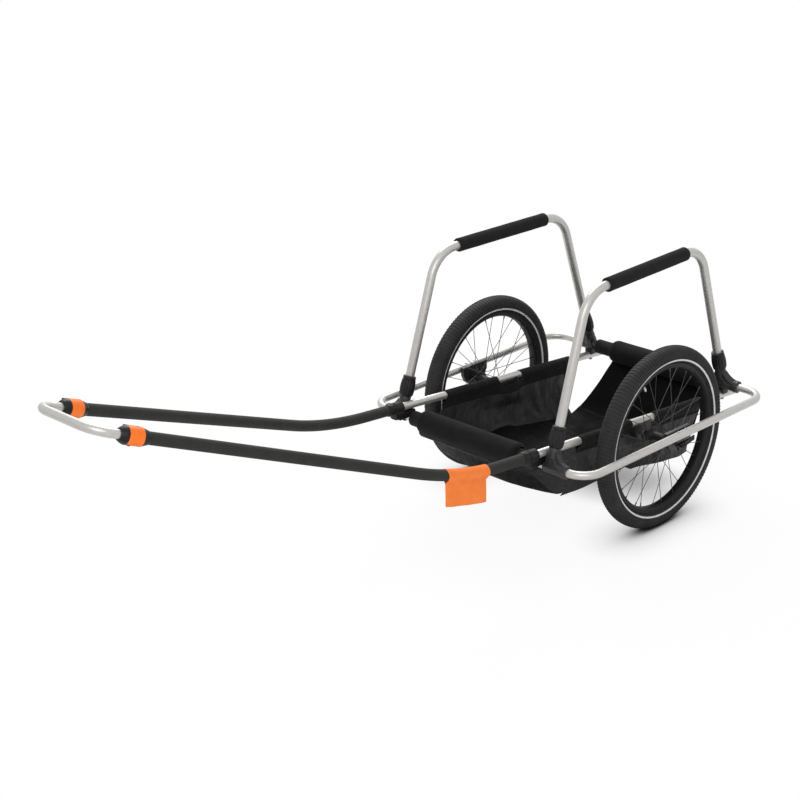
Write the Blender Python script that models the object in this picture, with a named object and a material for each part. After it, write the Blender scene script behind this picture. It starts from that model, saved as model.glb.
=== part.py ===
"""Two-wheeled cargo trailer with a U-shaped handle on two bent poles.

Units are metres, +Z is up and the handle points to -Y.  The trailer stands on
z = 0.  Every place below is given from the middle of the wheels' axle; the
empty "trailer" lifts the whole model on to the floor and centres it.
"""

import math

import bmesh
import bpy
from mathutils import Matrix, Vector

# Clearance between pieces that touch
GAP = 0.0003

# Where the model stands
WHEEL_RADIUS = 0.254
AXLE_Y = 0.6265

# Frame tubes
TUBE_RADIUS = 0.011
TUBE_WALL = 0.0016
HOOP_RADIUS = 0.0125
FRAME_HEIGHT = 0.0292
FRONT_BAR_Y = -0.400
REAR_BAR_Y = 0.382
LOOP_X = 0.3825
LOOP_BEND = 0.060
RAIL_X = 0.240
RAIL_END_Y = 0.435
RAIL_LIFT = 0.0334
BEND_STEPS = 4

# Hoops: the legs lean towards each other and the front leg stands further out
HOOP_FRONT_X = 0.2675
HOOP_REAR_X = 0.2387
HOOP_TOP = 0.4625
HOOP_FRONT_CORNER_Y = -0.2605
HOOP_REAR_CORNER_Y = 0.2395
HOOP_BEND = 0.094
GRIP_RADIUS = 0.019
GRIP_FRONT_Y = -0.182
GRIP_REAR_Y = 0.166

# Corner castings, measured from the hoop's leg
CORNER_INSIDE = 0.0195
CORNER_OUTSIDE = 0.0555
CORNER_RADIUS = 0.0157
CORNER_RING = 0.0172
NECK_RADIUS = 0.0150
NECK_HEIGHT = 0.0515
TUBE_MEETING = 0.017

# Clamp nuts on the hoops' legs
NUT_RADIUS = 0.0205
NUT_LENGTH = 0.056
FLUTE_DEPTH = 0.0010

# Front tees and their lock nuts
TEE_RADIUS = 0.0175
TEE_REAR_Y = -0.4315
TEE_FRONT_Y = -0.4620
TEE_FOOT_LOW = 0.0375
LOCK_RADIUS = 0.0180
LOCK_LENGTH = 0.0205
POLE_PIVOT_Y = -0.466

# Poles with their sleeves
POLE_RADIUS = 0.0136
POLE_WALL = 0.0010
SLEEVE_RADIUS = 0.0147
POLE_CORNER_Y = -0.7084
POLE_BEND = 0.90

# Barrel clamps at the poles' ends
CLAMP_X = 0.1174
CLAMP_Y = -1.5822
CLAMP_Z = 0.4390
CLAMP_LENGTH = 0.074
CLAMP_RADIUS = 0.0215
LEVER_START = 0.023
LEVER_LENGTH = 0.035
LEVER_THICKNESS = 0.0025
LEVER_FROM = -50.0
LEVER_TO = 118.0
HINGE_ANGLE = 132.0
HINGE_PIN = 0.0015

# U handle
HANDLE_RADIUS = 0.0110
HANDLE_Y = -1.678
HANDLE_BEND = 0.055
HANDLE_INSERT = 0.200

# Tag on the left pole
TAG_REAR_Y = -0.610
TAG_FRONT_Y = -0.765
TAG_DROP = 0.070
TAG_THICKNESS = 0.0012

# Foam on the crossbars and the cloth bag
FOAM_RADIUS = 0.021
FRONT_FOAM_HALF = RAIL_X - 0.018
REAR_FOAM_HALF = RAIL_X - 0.028
ROLL_RADIUS = 0.0335
ROLL_HALF = 0.186
CLOTH = 0.003
HEM_FRONT_Y = -0.260
HEM_REAR_Y = 0.280
FLOOR_HALF = 0.212
FLOOR_FRONT_Y = -0.250
FLOOR_REAR_Y = 0.190
FLOOR_FRONT_Z = -0.1100
FLOOR_REAR_Z = -0.1500
FLOOR_SAG = 0.020
BAG_HOLE_FRONT_Y = -0.044
BAG_HOLE_REAR_Y = 0.056
BAG_HOLE_Z = -0.036
BAG_HOLE_TOP = 0.080

# Wheels
WHEEL_X = 0.310
TYRE_HALF = 0.025
RIM_HALF = 0.015
TYRE_HEIGHT = 0.0445
RIM_FLANGE = 0.0070
RIM_DEPTH = 0.0175
RIM_OUTER = WHEEL_RADIUS - TYRE_HEIGHT
RIM_FLOOR = RIM_OUTER - RIM_FLANGE
RIM_INNER = RIM_OUTER - RIM_DEPTH
RIM_SIDES = 38
FLANGE_RADIUS = 0.022
FLANGE_X = 0.030
HUB_HALF = 0.048
HUB_RADIUS = 0.0125
SPOKE_COUNT = 28
SPOKE_RADIUS = 0.0014
SPOKE_TURN = 5.57
VALVE_RADIUS = 0.0027
VALVE_LENGTH = 0.034

# Axles, brackets and quick-release levers
AXLE_RADIUS = 0.005
INNER_BRACKET_HALF = 0.013
INNER_BRACKET_REACH = 0.036
OUTER_PLATE_X = 0.3655
OUTER_PLATE_HALF = 0.0055
OUTER_BRACKET_REACH = 0.050
BRACKET_ROUND = 0.0230
SADDLE_REACH = 0.030
SADDLE_LOW = 0.0128
QUICK_LENGTH = 0.056
QUICK_OFFSET = 0.0110
QUICK_TILT = 4.0


# Colours, roughness and metallic value of each kind of surface
SURFACES = {
    "aluminium": ((0.62, 0.61, 0.59, 1.0), 0.36, 1.0),
    "plastic": ((0.022, 0.022, 0.024, 1.0), 0.50, 0.0),
    "sleeve": ((0.028, 0.028, 0.029, 1.0), 0.78, 0.0),
    "foam": ((0.016, 0.016, 0.017, 1.0), 0.92, 0.0),
    "cloth": ((0.013, 0.013, 0.014, 1.0), 0.86, 0.0),
    "rubber": ((0.020, 0.020, 0.021, 1.0), 0.80, 0.0),
    "black metal": ((0.018, 0.018, 0.019, 1.0), 0.38, 0.6),
    "steel": ((0.55, 0.55, 0.56, 1.0), 0.30, 1.0),
    "brass": ((0.60, 0.50, 0.30, 1.0), 0.30, 1.0),
    "orange plastic": ((0.85, 0.16, 0.025, 1.0), 0.45, 0.0),
    "orange cloth": ((0.90, 0.20, 0.045, 1.0), 0.75, 0.0),
}


def unit(x, y, z):
    """Returns a direction of length one."""
    return Vector((x, y, z)).normalized()


RIGHT = unit(1, 0, 0)
LEFT_VALVE_WAY = unit(0, -0.42, 0.907)
RIGHT_VALVE_WAY = unit(0, 0.21, -0.98)
BACK = unit(0, 1, 0)
UP = unit(0, 0, 1)


# Lines that several pieces share

RAIL_SLOPE = 2 * RAIL_LIFT / (REAR_BAR_Y - FRONT_BAR_Y)


def rail_point(y):
    """Returns the place on the left rail's line at the given y."""
    z = FRAME_HEIGHT + RAIL_LIFT - RAIL_SLOPE * (y - FRONT_BAR_Y)
    return Vector((RAIL_X, y, z))


def hoop_x(y):
    """Returns how far out the hoop's upright plane lies at the given y."""
    part = (y - FRONT_BAR_Y) / (REAR_BAR_Y - FRONT_BAR_Y)
    return HOOP_FRONT_X + (HOOP_REAR_X - HOOP_FRONT_X) * part


RAIL_FORWARD = (rail_point(-1) - rail_point(0)).normalized()
FRONT_FOOT = Vector((HOOP_FRONT_X, FRONT_BAR_Y, FRAME_HEIGHT))
REAR_FOOT = Vector((HOOP_REAR_X, REAR_BAR_Y, FRAME_HEIGHT))
FRONT_TOP = Vector((hoop_x(HOOP_FRONT_CORNER_Y), HOOP_FRONT_CORNER_Y, HOOP_TOP))
REAR_TOP = Vector((hoop_x(HOOP_REAR_CORNER_Y), HOOP_REAR_CORNER_Y, HOOP_TOP))
POLE_CORNER = rail_point(POLE_CORNER_Y)
CLAMP_MIDDLE = Vector((CLAMP_X, CLAMP_Y, CLAMP_Z))
POLE_FORWARD = (CLAMP_MIDDLE - POLE_CORNER).normalized()


def pole_run(y):
    """Returns the place on the straight front run of the left pole at y."""
    return POLE_CORNER + POLE_FORWARD * ((y - POLE_CORNER_Y) / POLE_FORWARD.y)


# Meshes

def bore(radius, sides):
    """Returns a hole's radius that clears a round piece whatever its facets."""
    return (radius + GAP) / math.cos(math.pi / sides)


def across(direction):
    """Returns a direction at right angles to the given one."""
    guide = RIGHT if abs(direction.x) < 0.8 else UP
    return (guide - direction * guide.dot(direction)).normalized()


def rounded(points, radius, steps):
    """Returns the path through the points with every corner rounded."""
    path = [points[0]]
    for before, corner, after in zip(points, points[1:], points[2:]):
        inward = (corner - before).normalized()
        outward = (after - corner).normalized()
        turn = inward.angle(outward)
        start = corner - inward * radius * math.tan(turn / 2)
        side = (outward - inward * inward.dot(outward)).normalized()
        for step in range(steps + 1):
            angle = turn * step / steps
            ahead = inward * radius * math.sin(angle)
            path.append(start + ahead + side * radius * (1 - math.cos(angle)))
    path.append(points[-1])
    return path


def bridge(mesh, first, second):
    """Joins two rings of vertices with a band of faces."""
    count = len(first)
    for index in range(count):
        after = (index + 1) % count
        mesh.faces.new((first[index], first[after], second[after], second[index]))


def tube(path, outer, inner=0.0, sides=12):
    """Returns a round tube, or a bar, along the path."""
    mesh = bmesh.new()
    side = across((path[1] - path[0]).normalized())
    skins = []
    for index, place in enumerate(path):
        ahead = path[min(index + 1, len(path) - 1)]
        behind = path[max(index - 1, 0)]
        along = (ahead - behind).normalized()
        side = (side - along * side.dot(along)).normalized()
        other = along.cross(side)
        rings = []
        for radius in (outer, inner):
            ring = []
            for corner in range(sides if radius else 0):
                angle = 2 * math.pi * (corner + 0.5) / sides
                spoke = side * math.cos(angle) + other * math.sin(angle)
                ring.append(mesh.verts.new(place + spoke * radius))
            rings.append(ring)
        skins.append(rings)
    for first, second in zip(skins, skins[1:]):
        bridge(mesh, first[0], second[0])
        if inner:
            bridge(mesh, second[1], first[1])
    if inner:
        bridge(mesh, skins[0][1], skins[0][0])
        bridge(mesh, skins[-1][0], skins[-1][1])
    else:
        mesh.faces.new(reversed(skins[0][0]))
        mesh.faces.new(skins[-1][0])
    return mesh


def turned(start, along, outline, sides, ring=True):
    """Returns a turned piece: the outline's distances along and out from the axis.

    A third value makes every other corner of that ring lie deeper.  A ring
    has an outline that closes on itself; other pieces get flat ends.
    """
    mesh = bmesh.new()
    side = across(along)
    other = along.cross(side)
    rings = []
    for entry in outline:
        depth = entry[2] if len(entry) > 2 else 0.0
        row = []
        for corner in range(sides):
            angle = 2 * math.pi * (corner + 0.5) / sides
            spoke = side * math.cos(angle) + other * math.sin(angle)
            radius = entry[1] - (depth if corner % 2 else 0.0)
            row.append(mesh.verts.new(start + along * entry[0] + spoke * radius))
        rings.append(row)
    for first, second in zip(rings, rings[1:]):
        bridge(mesh, first, second)
    if ring:
        bridge(mesh, rings[-1], rings[0])
    else:
        mesh.faces.new(reversed(rings[0]))
        mesh.faces.new(rings[-1])
    return mesh


def prism(origin, u, v, outline, low, high):
    """Returns the outline, drawn on the directions u and v, made thick."""
    mesh = bmesh.new()
    w = u.cross(v)
    rows = []
    for depth in (low, high):
        row = []
        for a, b in outline:
            row.append(mesh.verts.new(origin + u * a + v * b + w * depth))
        rows.append(row)
    bridge(mesh, rows[0], rows[1])
    mesh.faces.new(reversed(rows[0]))
    mesh.faces.new(rows[1])
    return mesh


def block(low, high):
    """Returns a box between two corners."""
    outline = [(low[0], low[1]), (high[0], low[1]), (high[0], high[1]), (low[0], high[1])]
    return prism(Vector((0, 0, 0)), RIGHT, BACK, outline, low[2], high[2])


def arc(start, along, span, radii, angles, steps):
    """Returns a curved plate round an axis; angles run from +X over the top."""
    side = across(along)
    lift = (UP - along * UP.dot(along)).normalized()
    side = (side - lift * side.dot(lift)).normalized()
    outline = []
    for radius, turn in ((radii[1], 1), (radii[0], -1)):
        for step in range(steps + 1)[::turn]:
            angle = math.radians(angles[0] + (angles[1] - angles[0]) * step / steps)
            outline.append((radius * math.cos(angle), radius * math.sin(angle)))
    flip = side.cross(lift).dot(along)
    low, high = (span[0], span[1]) if flip > 0 else (-span[1], -span[0])
    return prism(start, side, lift, outline, low, high)


def sheet(rows, thickness):
    """Returns a thin closed skin over a grid of places."""
    mesh = bmesh.new()
    skins = ([], [])
    height = len(rows)
    width = len(rows[0])
    for j in range(height):
        lines = ([], [])
        for i in range(width):
            down = rows[min(j + 1, height - 1)][i] - rows[max(j - 1, 0)][i]
            over = rows[j][min(i + 1, width - 1)] - rows[j][max(i - 1, 0)]
            normal = over.cross(down).normalized() * (thickness / 2)
            lines[0].append(mesh.verts.new(rows[j][i] + normal))
            lines[1].append(mesh.verts.new(rows[j][i] - normal))
        skins[0].append(lines[0])
        skins[1].append(lines[1])
    for skin, turn in zip(skins, (1, -1)):
        for j in range(height - 1):
            for i in range(width - 1):
                face = (skin[j][i], skin[j][i + 1], skin[j + 1][i + 1], skin[j + 1][i])
                mesh.faces.new(face[::turn])
    rims = []
    for skin in skins:
        rim = skin[0][:-1] + [row[-1] for row in skin[:-1]]
        rim += skin[-1][:0:-1] + [row[0] for row in skin[:0:-1]]
        rims.append(rim)
    bridge(mesh, rims[1], rims[0])
    return mesh


def solid(mesh):
    """Puts a mesh into the scene and returns its object."""
    bmesh.ops.recalc_face_normals(mesh, faces=mesh.faces)
    data = bpy.data.meshes.new("piece")
    mesh.to_mesh(data)
    mesh.free()
    piece = bpy.data.objects.new("piece", data)
    bpy.context.scene.collection.objects.link(piece)
    return piece


def shaped(piece, operation, tools):
    """Joins the tools to the piece, or cuts them out of it."""
    for tool in tools:
        other = solid(tool)
        change = piece.modifiers.new("shape", "BOOLEAN")
        change.operation = operation
        change.solver = "EXACT"
        change.object = other
        graph = bpy.context.evaluated_depsgraph_get()
        graph.update()
        data = bpy.data.meshes.new_from_object(piece.evaluated_get(graph))
        piece.modifiers.clear()
        piece.data = data
        bpy.data.objects.remove(other, do_unlink=True)
    return piece


def joined(piece, *tools):
    """Joins the tools to the piece."""
    return shaped(piece, "UNION", tools)


def cut(piece, *tools):
    """Cuts the tools out of the piece."""
    return shaped(piece, "DIFFERENCE", tools)


def surface(name, kind):
    """Returns a new material of the given kind."""
    colour, roughness, metallic = SURFACES[kind]
    material = bpy.data.materials.new(name)
    material.use_nodes = True
    shader = material.node_tree.nodes["Principled BSDF"]
    shader.inputs["Base Color"].default_value = colour
    shader.inputs["Roughness"].default_value = roughness
    shader.inputs["Metallic"].default_value = metallic
    material.diffuse_color = colour
    return material


def empty(name, place, parent=None):
    """Returns a new empty at a place given from the axle's middle."""
    marker = bpy.data.objects.new(name, None)
    marker.empty_display_size = 0.03
    bpy.context.scene.collection.objects.link(marker)
    if parent:
        marker.parent = parent
        marker.location = place - origin_of(parent)
    else:
        marker.location = place
    return marker


def origin_of(marker):
    """Returns the place of an object, given from the axle's middle."""
    place = Vector((0, 0, 0))
    while marker.parent:
        place += marker.location
        marker = marker.parent
    return place


def placed(piece, name, kind, parent, pivot):
    """Names a finished piece and moves its origin to the pivot."""
    piece.name = name
    piece.data.name = name
    piece.data.transform(Matrix.Translation(-pivot))
    piece.data.materials.clear()
    piece.data.materials.append(surface(name + "_surface", kind))
    piece.data.shade_smooth()
    piece.data.set_sharp_from_angle(angle=math.radians(38))
    piece.parent = parent
    piece.location = pivot - origin_of(parent)
    return piece


def mirrored(place):
    """Returns the same place on the right side."""
    return Vector((-place.x, place.y, place.z))


def pair(piece, name, kind, parents, pivot):
    """Places a left piece and its mirror image on the right."""
    data = piece.data.copy()
    data.transform(Matrix.Scale(-1, 4, RIGHT))
    data.flip_normals()
    twin = bpy.data.objects.new("piece", data)
    bpy.context.scene.collection.objects.link(twin)
    placed(piece, "left_" + name, kind, parents[0], pivot)
    placed(twin, "right_" + name, kind, parents[1], mirrored(pivot))


# Pieces of the frame

def build_crossbars(root):
    """Builds the two crossbars with their foam tubes."""
    wall = TUBE_RADIUS - TUBE_WALL
    for name, y, foot_x, foam_half in (
        ("front", FRONT_BAR_Y, HOOP_FRONT_X, FRONT_FOAM_HALF),
        ("rear", REAR_BAR_Y, HOOP_REAR_X, REAR_FOAM_HALF),
    ):
        middle = Vector((0, y, FRAME_HEIGHT))
        half = foot_x + TUBE_MEETING - GAP
        bar = solid(tube([middle - RIGHT * half, middle + RIGHT * half], TUBE_RADIUS, wall))
        placed(bar, name + "_crossbar", "aluminium", root, middle)
        bevel = 0.003
        hole = TUBE_RADIUS + GAP
        foam = turned(middle, RIGHT, [
            (-foam_half, hole), (-foam_half, FOAM_RADIUS - bevel),
            (-foam_half + bevel, FOAM_RADIUS), (foam_half - bevel, FOAM_RADIUS),
            (foam_half, FOAM_RADIUS - bevel), (foam_half, hole),
        ], 16)
        placed(solid(foam), name + "_foam", "foam", root, middle)


def build_rails(root):
    """Builds the rails with the rear saddles and bolts."""
    front = rail_point(TEE_REAR_Y - 0.0065)
    rear = rail_point(RAIL_END_Y)
    rail = solid(tube([front, rear], TUBE_RADIUS, TUBE_RADIUS - TUBE_WALL))
    middle = rail_point(REAR_BAR_Y)
    bolt_radius = 0.003
    top = FRAME_HEIGHT - CORNER_RADIUS + 0.003
    bottom = middle.z - TUBE_RADIUS
    start = Vector((RAIL_X, REAR_BAR_Y, bottom))
    cut(rail, turned(start, UP, [
        (-0.010, bolt_radius + GAP), (0.040, bolt_radius + GAP)], 10, False))
    pair(rail, "rail", "aluminium", (root, root), rail_point(0))

    saddle = solid(block(
        (RAIL_X - 0.011, REAR_BAR_Y - 0.013, middle.z),
        (RAIL_X + 0.011, REAR_BAR_Y + 0.013, FRAME_HEIGHT)))
    bar = Vector((RAIL_X, REAR_BAR_Y, FRAME_HEIGHT))
    reach = RIGHT * 0.02
    rail_cut = [rail_point(REAR_BAR_Y - 0.03), rail_point(REAR_BAR_Y + 0.03)]
    cut(saddle,
        tube([bar - reach, bar + reach], CORNER_RADIUS + GAP, sides=16),
        tube(rail_cut, TUBE_RADIUS + GAP, sides=12),
        turned(start, UP, [(0.0, bolt_radius + GAP), (0.040, bolt_radius + GAP)], 10, False))
    keep_saddle(saddle)
    pair(saddle, "rear_saddle", "plastic", (root, root), middle)

    bolt = solid(turned(start, UP, [
        (-0.0045, 0.0045), (-0.0035, 0.0058), (-GAP - 0.0002, 0.0058),
        (-GAP - 0.0002, bolt_radius), (top - bottom - GAP, bolt_radius)], 10, False))
    pair(bolt, "saddle_bolt", "steel", (root, root), start)


def keep_saddle(saddle):
    """Keeps only the saddle's part between the two tubes."""
    mesh = bmesh.new()
    mesh.from_mesh(saddle.data)
    seen = set()
    for vertex in list(mesh.verts):
        if vertex in seen:
            continue
        island = {vertex}
        edge = [vertex]
        while edge:
            for link in edge.pop().link_edges:
                for end in link.verts:
                    if end not in island:
                        island.add(end)
                        edge.append(end)
        seen |= island
        low = min(item.co.z for item in island)
        high = max(item.co.z for item in island)
        if high > FRAME_HEIGHT - 0.002 or low > FRAME_HEIGHT:
            bmesh.ops.delete(mesh, geom=list(island), context="VERTS")
    mesh.to_mesh(saddle.data)
    mesh.free()


def build_loops(root):
    """Builds the wheel guards."""
    points = [
        Vector((HOOP_FRONT_X + TUBE_MEETING + GAP, FRONT_BAR_Y, FRAME_HEIGHT)),
        Vector((LOOP_X, FRONT_BAR_Y, FRAME_HEIGHT)),
        Vector((LOOP_X, REAR_BAR_Y, FRAME_HEIGHT)),
        Vector((HOOP_REAR_X + TUBE_MEETING + GAP, REAR_BAR_Y, FRAME_HEIGHT)),
    ]
    path = rounded(points, LOOP_BEND, BEND_STEPS)
    loop = solid(tube(path, TUBE_RADIUS, TUBE_RADIUS - TUBE_WALL))
    pair(loop, "side_loop", "aluminium", (root, root), Vector((LOOP_X, 0, FRAME_HEIGHT)))


def build_corner(root, name, foot, top):
    """Builds one corner casting and its mirror image."""
    leg = (top - foot).normalized()
    end = foot + RIGHT * CORNER_OUTSIDE
    ring = foot + RIGHT * (CORNER_OUTSIDE - 0.013)
    start = foot - RIGHT * CORNER_INSIDE
    casting = solid(turned(start, RIGHT, [
        (0, CORNER_RADIUS - 0.002), (0.002, CORNER_RADIUS),
        ((ring - start).x - 0.002, CORNER_RADIUS), ((ring - start).x, CORNER_RING),
        ((end - start).x - 0.0015, CORNER_RING), ((end - start).x, CORNER_RING - 0.0015),
    ], 16, False))
    outline = [(-0.010, -0.006), (0.050, -0.006), (0.050, 0.013), (0.040, 0.0165),
               (0.029, 0.0225), (0.0205, 0.031), (0.014, 0.043), (0.0, 0.045)]
    flat = (RIGHT - leg * RIGHT.dot(leg)).normalized()
    neck = turned(foot, leg, [
        (0, NECK_RADIUS), (0.036, NECK_RADIUS), (0.038, NECK_RADIUS + 0.0005),
        (NECK_HEIGHT, NECK_RADIUS + 0.0005)], 16, False)
    joined(casting, prism(foot, flat, leg, outline, -0.0095, 0.0095), neck)
    hoop_bottom = TUBE_RADIUS + 0.0025
    reach = RIGHT * 0.1
    cut(casting,
        tube([foot - reach, foot + reach], TUBE_RADIUS + GAP, sides=12),
        tube([foot + leg * hoop_bottom, foot + leg * 0.1], HOOP_RADIUS + GAP, sides=12))
    if name == "rear":
        bottom = Vector((RAIL_X, REAR_BAR_Y, FRAME_HEIGHT - CORNER_RADIUS - 0.01))
        cut(casting, turned(bottom, UP, [(0, 0.003 + GAP), (0.013, 0.003 + GAP)], 10, False))
    pair(casting, name + "_corner", "plastic", (root, root), foot)

    base = foot + leg * (NECK_HEIGHT + GAP)
    hole = bore(HOOP_RADIUS, 16)
    size = NUT_RADIUS
    depth = FLUTE_DEPTH
    nut = turned(base, leg, [
        (0, hole), (0, size - 0.0030), (0.004, size - 0.0015, depth),
        (0.016, size, depth), (0.032, size - 0.0004, depth),
        (0.047, size - 0.0024, depth), (0.0490, size - 0.0022),
        (NUT_LENGTH, size - 0.0030), (NUT_LENGTH, hole),
    ], 16)
    pair(solid(nut), name + "_hoop_nut", "plastic", (root, root), base)


def build_hoops(root):
    """Builds the hoops with their grips, castings and nuts."""
    build_corner(root, "front", FRONT_FOOT, FRONT_TOP)
    build_corner(root, "rear", REAR_FOOT, REAR_TOP)
    lift = TUBE_RADIUS + 0.0025 + GAP
    front = FRONT_FOOT + (FRONT_TOP - FRONT_FOOT).normalized() * lift
    rear = REAR_FOOT + (REAR_TOP - REAR_FOOT).normalized() * lift
    path = rounded([front, FRONT_TOP, REAR_TOP, rear], HOOP_BEND, BEND_STEPS + 1)
    hoop = solid(tube(path, HOOP_RADIUS, HOOP_RADIUS - TUBE_WALL))
    middle = (FRONT_TOP + REAR_TOP) / 2
    pair(hoop, "hoop", "aluminium", (root, root), middle)

    along = (REAR_TOP - FRONT_TOP).normalized()
    start = FRONT_TOP + along * ((GRIP_FRONT_Y - FRONT_TOP.y) / along.y)
    length = (GRIP_REAR_Y - GRIP_FRONT_Y) / along.y
    hole = bore(HOOP_RADIUS, 16)
    bevel = 0.003
    grip = turned(start, along, [
        (0, hole), (0, GRIP_RADIUS - bevel), (bevel, GRIP_RADIUS),
        (length - bevel, GRIP_RADIUS), (length, GRIP_RADIUS - bevel), (length, hole),
    ], 16)
    pair(solid(grip), "grip", "foam", (root, root), start + along * (length / 2))


def build_tees(root):
    """Builds the front tees and the poles' lock nuts."""
    rear = rail_point(TEE_REAR_Y)
    length = (TEE_REAR_Y - TEE_FRONT_Y) / -RAIL_FORWARD.y
    size = TEE_RADIUS
    tee = solid(turned(rear, RAIL_FORWARD, [
        (0, size - 0.0015), (0.0015, size), (0.010, size), (0.011, size - 0.0008),
        (0.013, size - 0.0008), (0.014, size), (length - 0.0015, size),
        (length, size - 0.0015)], 16, False))
    low = TEE_FOOT_LOW
    foot = [(-0.011, low), (-0.006, low - 0.0012), (0.006, low - 0.0012), (0.011, low),
            (0.0135, low + 0.002), (0.0110, low + 0.010), (0.0105, rear.z),
            (-0.0105, rear.z), (-0.0110, low + 0.010), (-0.0135, low + 0.002)]
    lug = prism(Vector((RAIL_X, 0, 0)), RIGHT, UP, foot, 0.4365, 0.4585)
    saddle_low = FRAME_HEIGHT + 0.004
    saddle_high = rail_point(FRONT_BAR_Y).z - TUBE_RADIUS - 0.0008
    saddle = block(
        (RAIL_X - 0.0125, -0.446, saddle_low),
        (RAIL_X + 0.0072, FRONT_BAR_Y + 0.0140, saddle_high))
    joined(tee, lug, saddle)
    bar = Vector((RAIL_X, FRONT_BAR_Y, FRAME_HEIGHT))
    reach = RIGHT * 0.05
    pole_end = TEE_REAR_Y - 0.0130
    cut(tee,
        tube([bar - reach, bar + reach], TUBE_RADIUS + GAP, sides=12),
        tube([rail_point(-0.36), rail_point(pole_end)], TUBE_RADIUS + GAP, sides=12),
        tube([rail_point(pole_end + 0.0003), rail_point(-0.50)], POLE_RADIUS + 0.0007,
             sides=12))
    pair(tee, "tee", "plastic", (root, root), rail_point(POLE_PIVOT_Y))

    start = rail_point(TEE_FRONT_Y - GAP)
    hole = POLE_RADIUS + 0.0010
    size = LOCK_RADIUS
    depth = 0.0007
    lock = turned(start, RAIL_FORWARD, [
        (0, hole), (0, size - 0.001), (0.002, size, depth),
        (LOCK_LENGTH - 0.005, size, depth), (LOCK_LENGTH, size - 0.0015),
        (LOCK_LENGTH, hole)], 16)
    pair(solid(lock), "pole_lock_nut", "plastic", (root, root), start)


# Pieces of the drawbar

def build_poles(hinges):
    """Builds the bent poles and their sleeves."""
    rear = rail_point(TEE_REAR_Y - 0.0140)
    front = CLAMP_MIDDLE + POLE_FORWARD * 0.005
    path = rounded([rear, POLE_CORNER, front], POLE_BEND, BEND_STEPS + 1)
    pole = solid(tube(path, POLE_RADIUS, POLE_RADIUS - POLE_WALL))
    pivot = rail_point(POLE_PIVOT_Y)
    pair(pole, "pole", "aluminium", hinges, pivot)

    rear = rail_point(TEE_FRONT_Y - 2 * GAP - LOCK_LENGTH)
    front = CLAMP_MIDDLE - POLE_FORWARD * (CLAMP_LENGTH / 2 + GAP)
    path = rounded([rear, POLE_CORNER, front], POLE_BEND, BEND_STEPS + 1)
    sleeve = solid(tube(path, SLEEVE_RADIUS, POLE_RADIUS + GAP))
    pair(sleeve, "pole_sleeve", "sleeve", hinges, pivot)


def pole_path(y_rear, y_front, steps):
    """Returns places along the left pole between two values of y."""
    rear = rail_point(TEE_REAR_Y)
    whole = rounded([rear, POLE_CORNER, CLAMP_MIDDLE], POLE_BEND, BEND_STEPS + 1)
    places = []
    for step in range(steps + 1):
        y = y_rear + (y_front - y_rear) * step / steps
        for first, second in zip(whole, whole[1:]):
            if second.y <= y <= first.y:
                part = (y - first.y) / (second.y - first.y)
                places.append(first.lerp(second, part))
                break
    return places


def build_tag(hinge):
    """Builds the cloth tag that hangs from the left pole."""
    path = pole_path(TAG_REAR_Y, TAG_FRONT_Y, 4)
    hole = SLEEVE_RADIUS + 0.0009
    tag = solid(tube(path, hole + TAG_THICKNESS, hole))
    rows = []
    for depth in (hole + TAG_THICKNESS / 2, 0.035, 0.055, SLEEVE_RADIUS + TAG_DROP):
        rows.append([place - UP * depth for place in path])
    joined(tag, sheet(rows, TAG_THICKNESS * 1.2))
    placed(tag, "tag", "orange cloth", hinge, path[2])


def clamp_line(side):
    """Returns the middle of a clamp and the way its pole points."""
    middle = Vector((CLAMP_MIDDLE.x * side, CLAMP_MIDDLE.y, CLAMP_MIDDLE.z))
    forward = Vector((POLE_FORWARD.x * side, POLE_FORWARD.y, POLE_FORWARD.z))
    return middle, forward


def clamp_point(side, distance, radius, angle):
    """Returns a place on a clamp, from its front end and from its axis."""
    middle, forward = clamp_line(side)
    start = middle + forward * (CLAMP_LENGTH / 2)
    lift = (UP - forward * UP.dot(forward)).normalized()
    level = across(forward)
    level = (level - lift * level.dot(lift)).normalized()
    turn = math.radians(angle)
    out = level * radius * math.cos(turn) + lift * radius * math.sin(turn)
    return start - forward * distance + out


def lever_pivot(side):
    """Returns the middle of a clamp lever's hinge."""
    return clamp_point(side, LEVER_START + LEVER_LENGTH / 2, CLAMP_RADIUS, HINGE_ANGLE)


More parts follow.
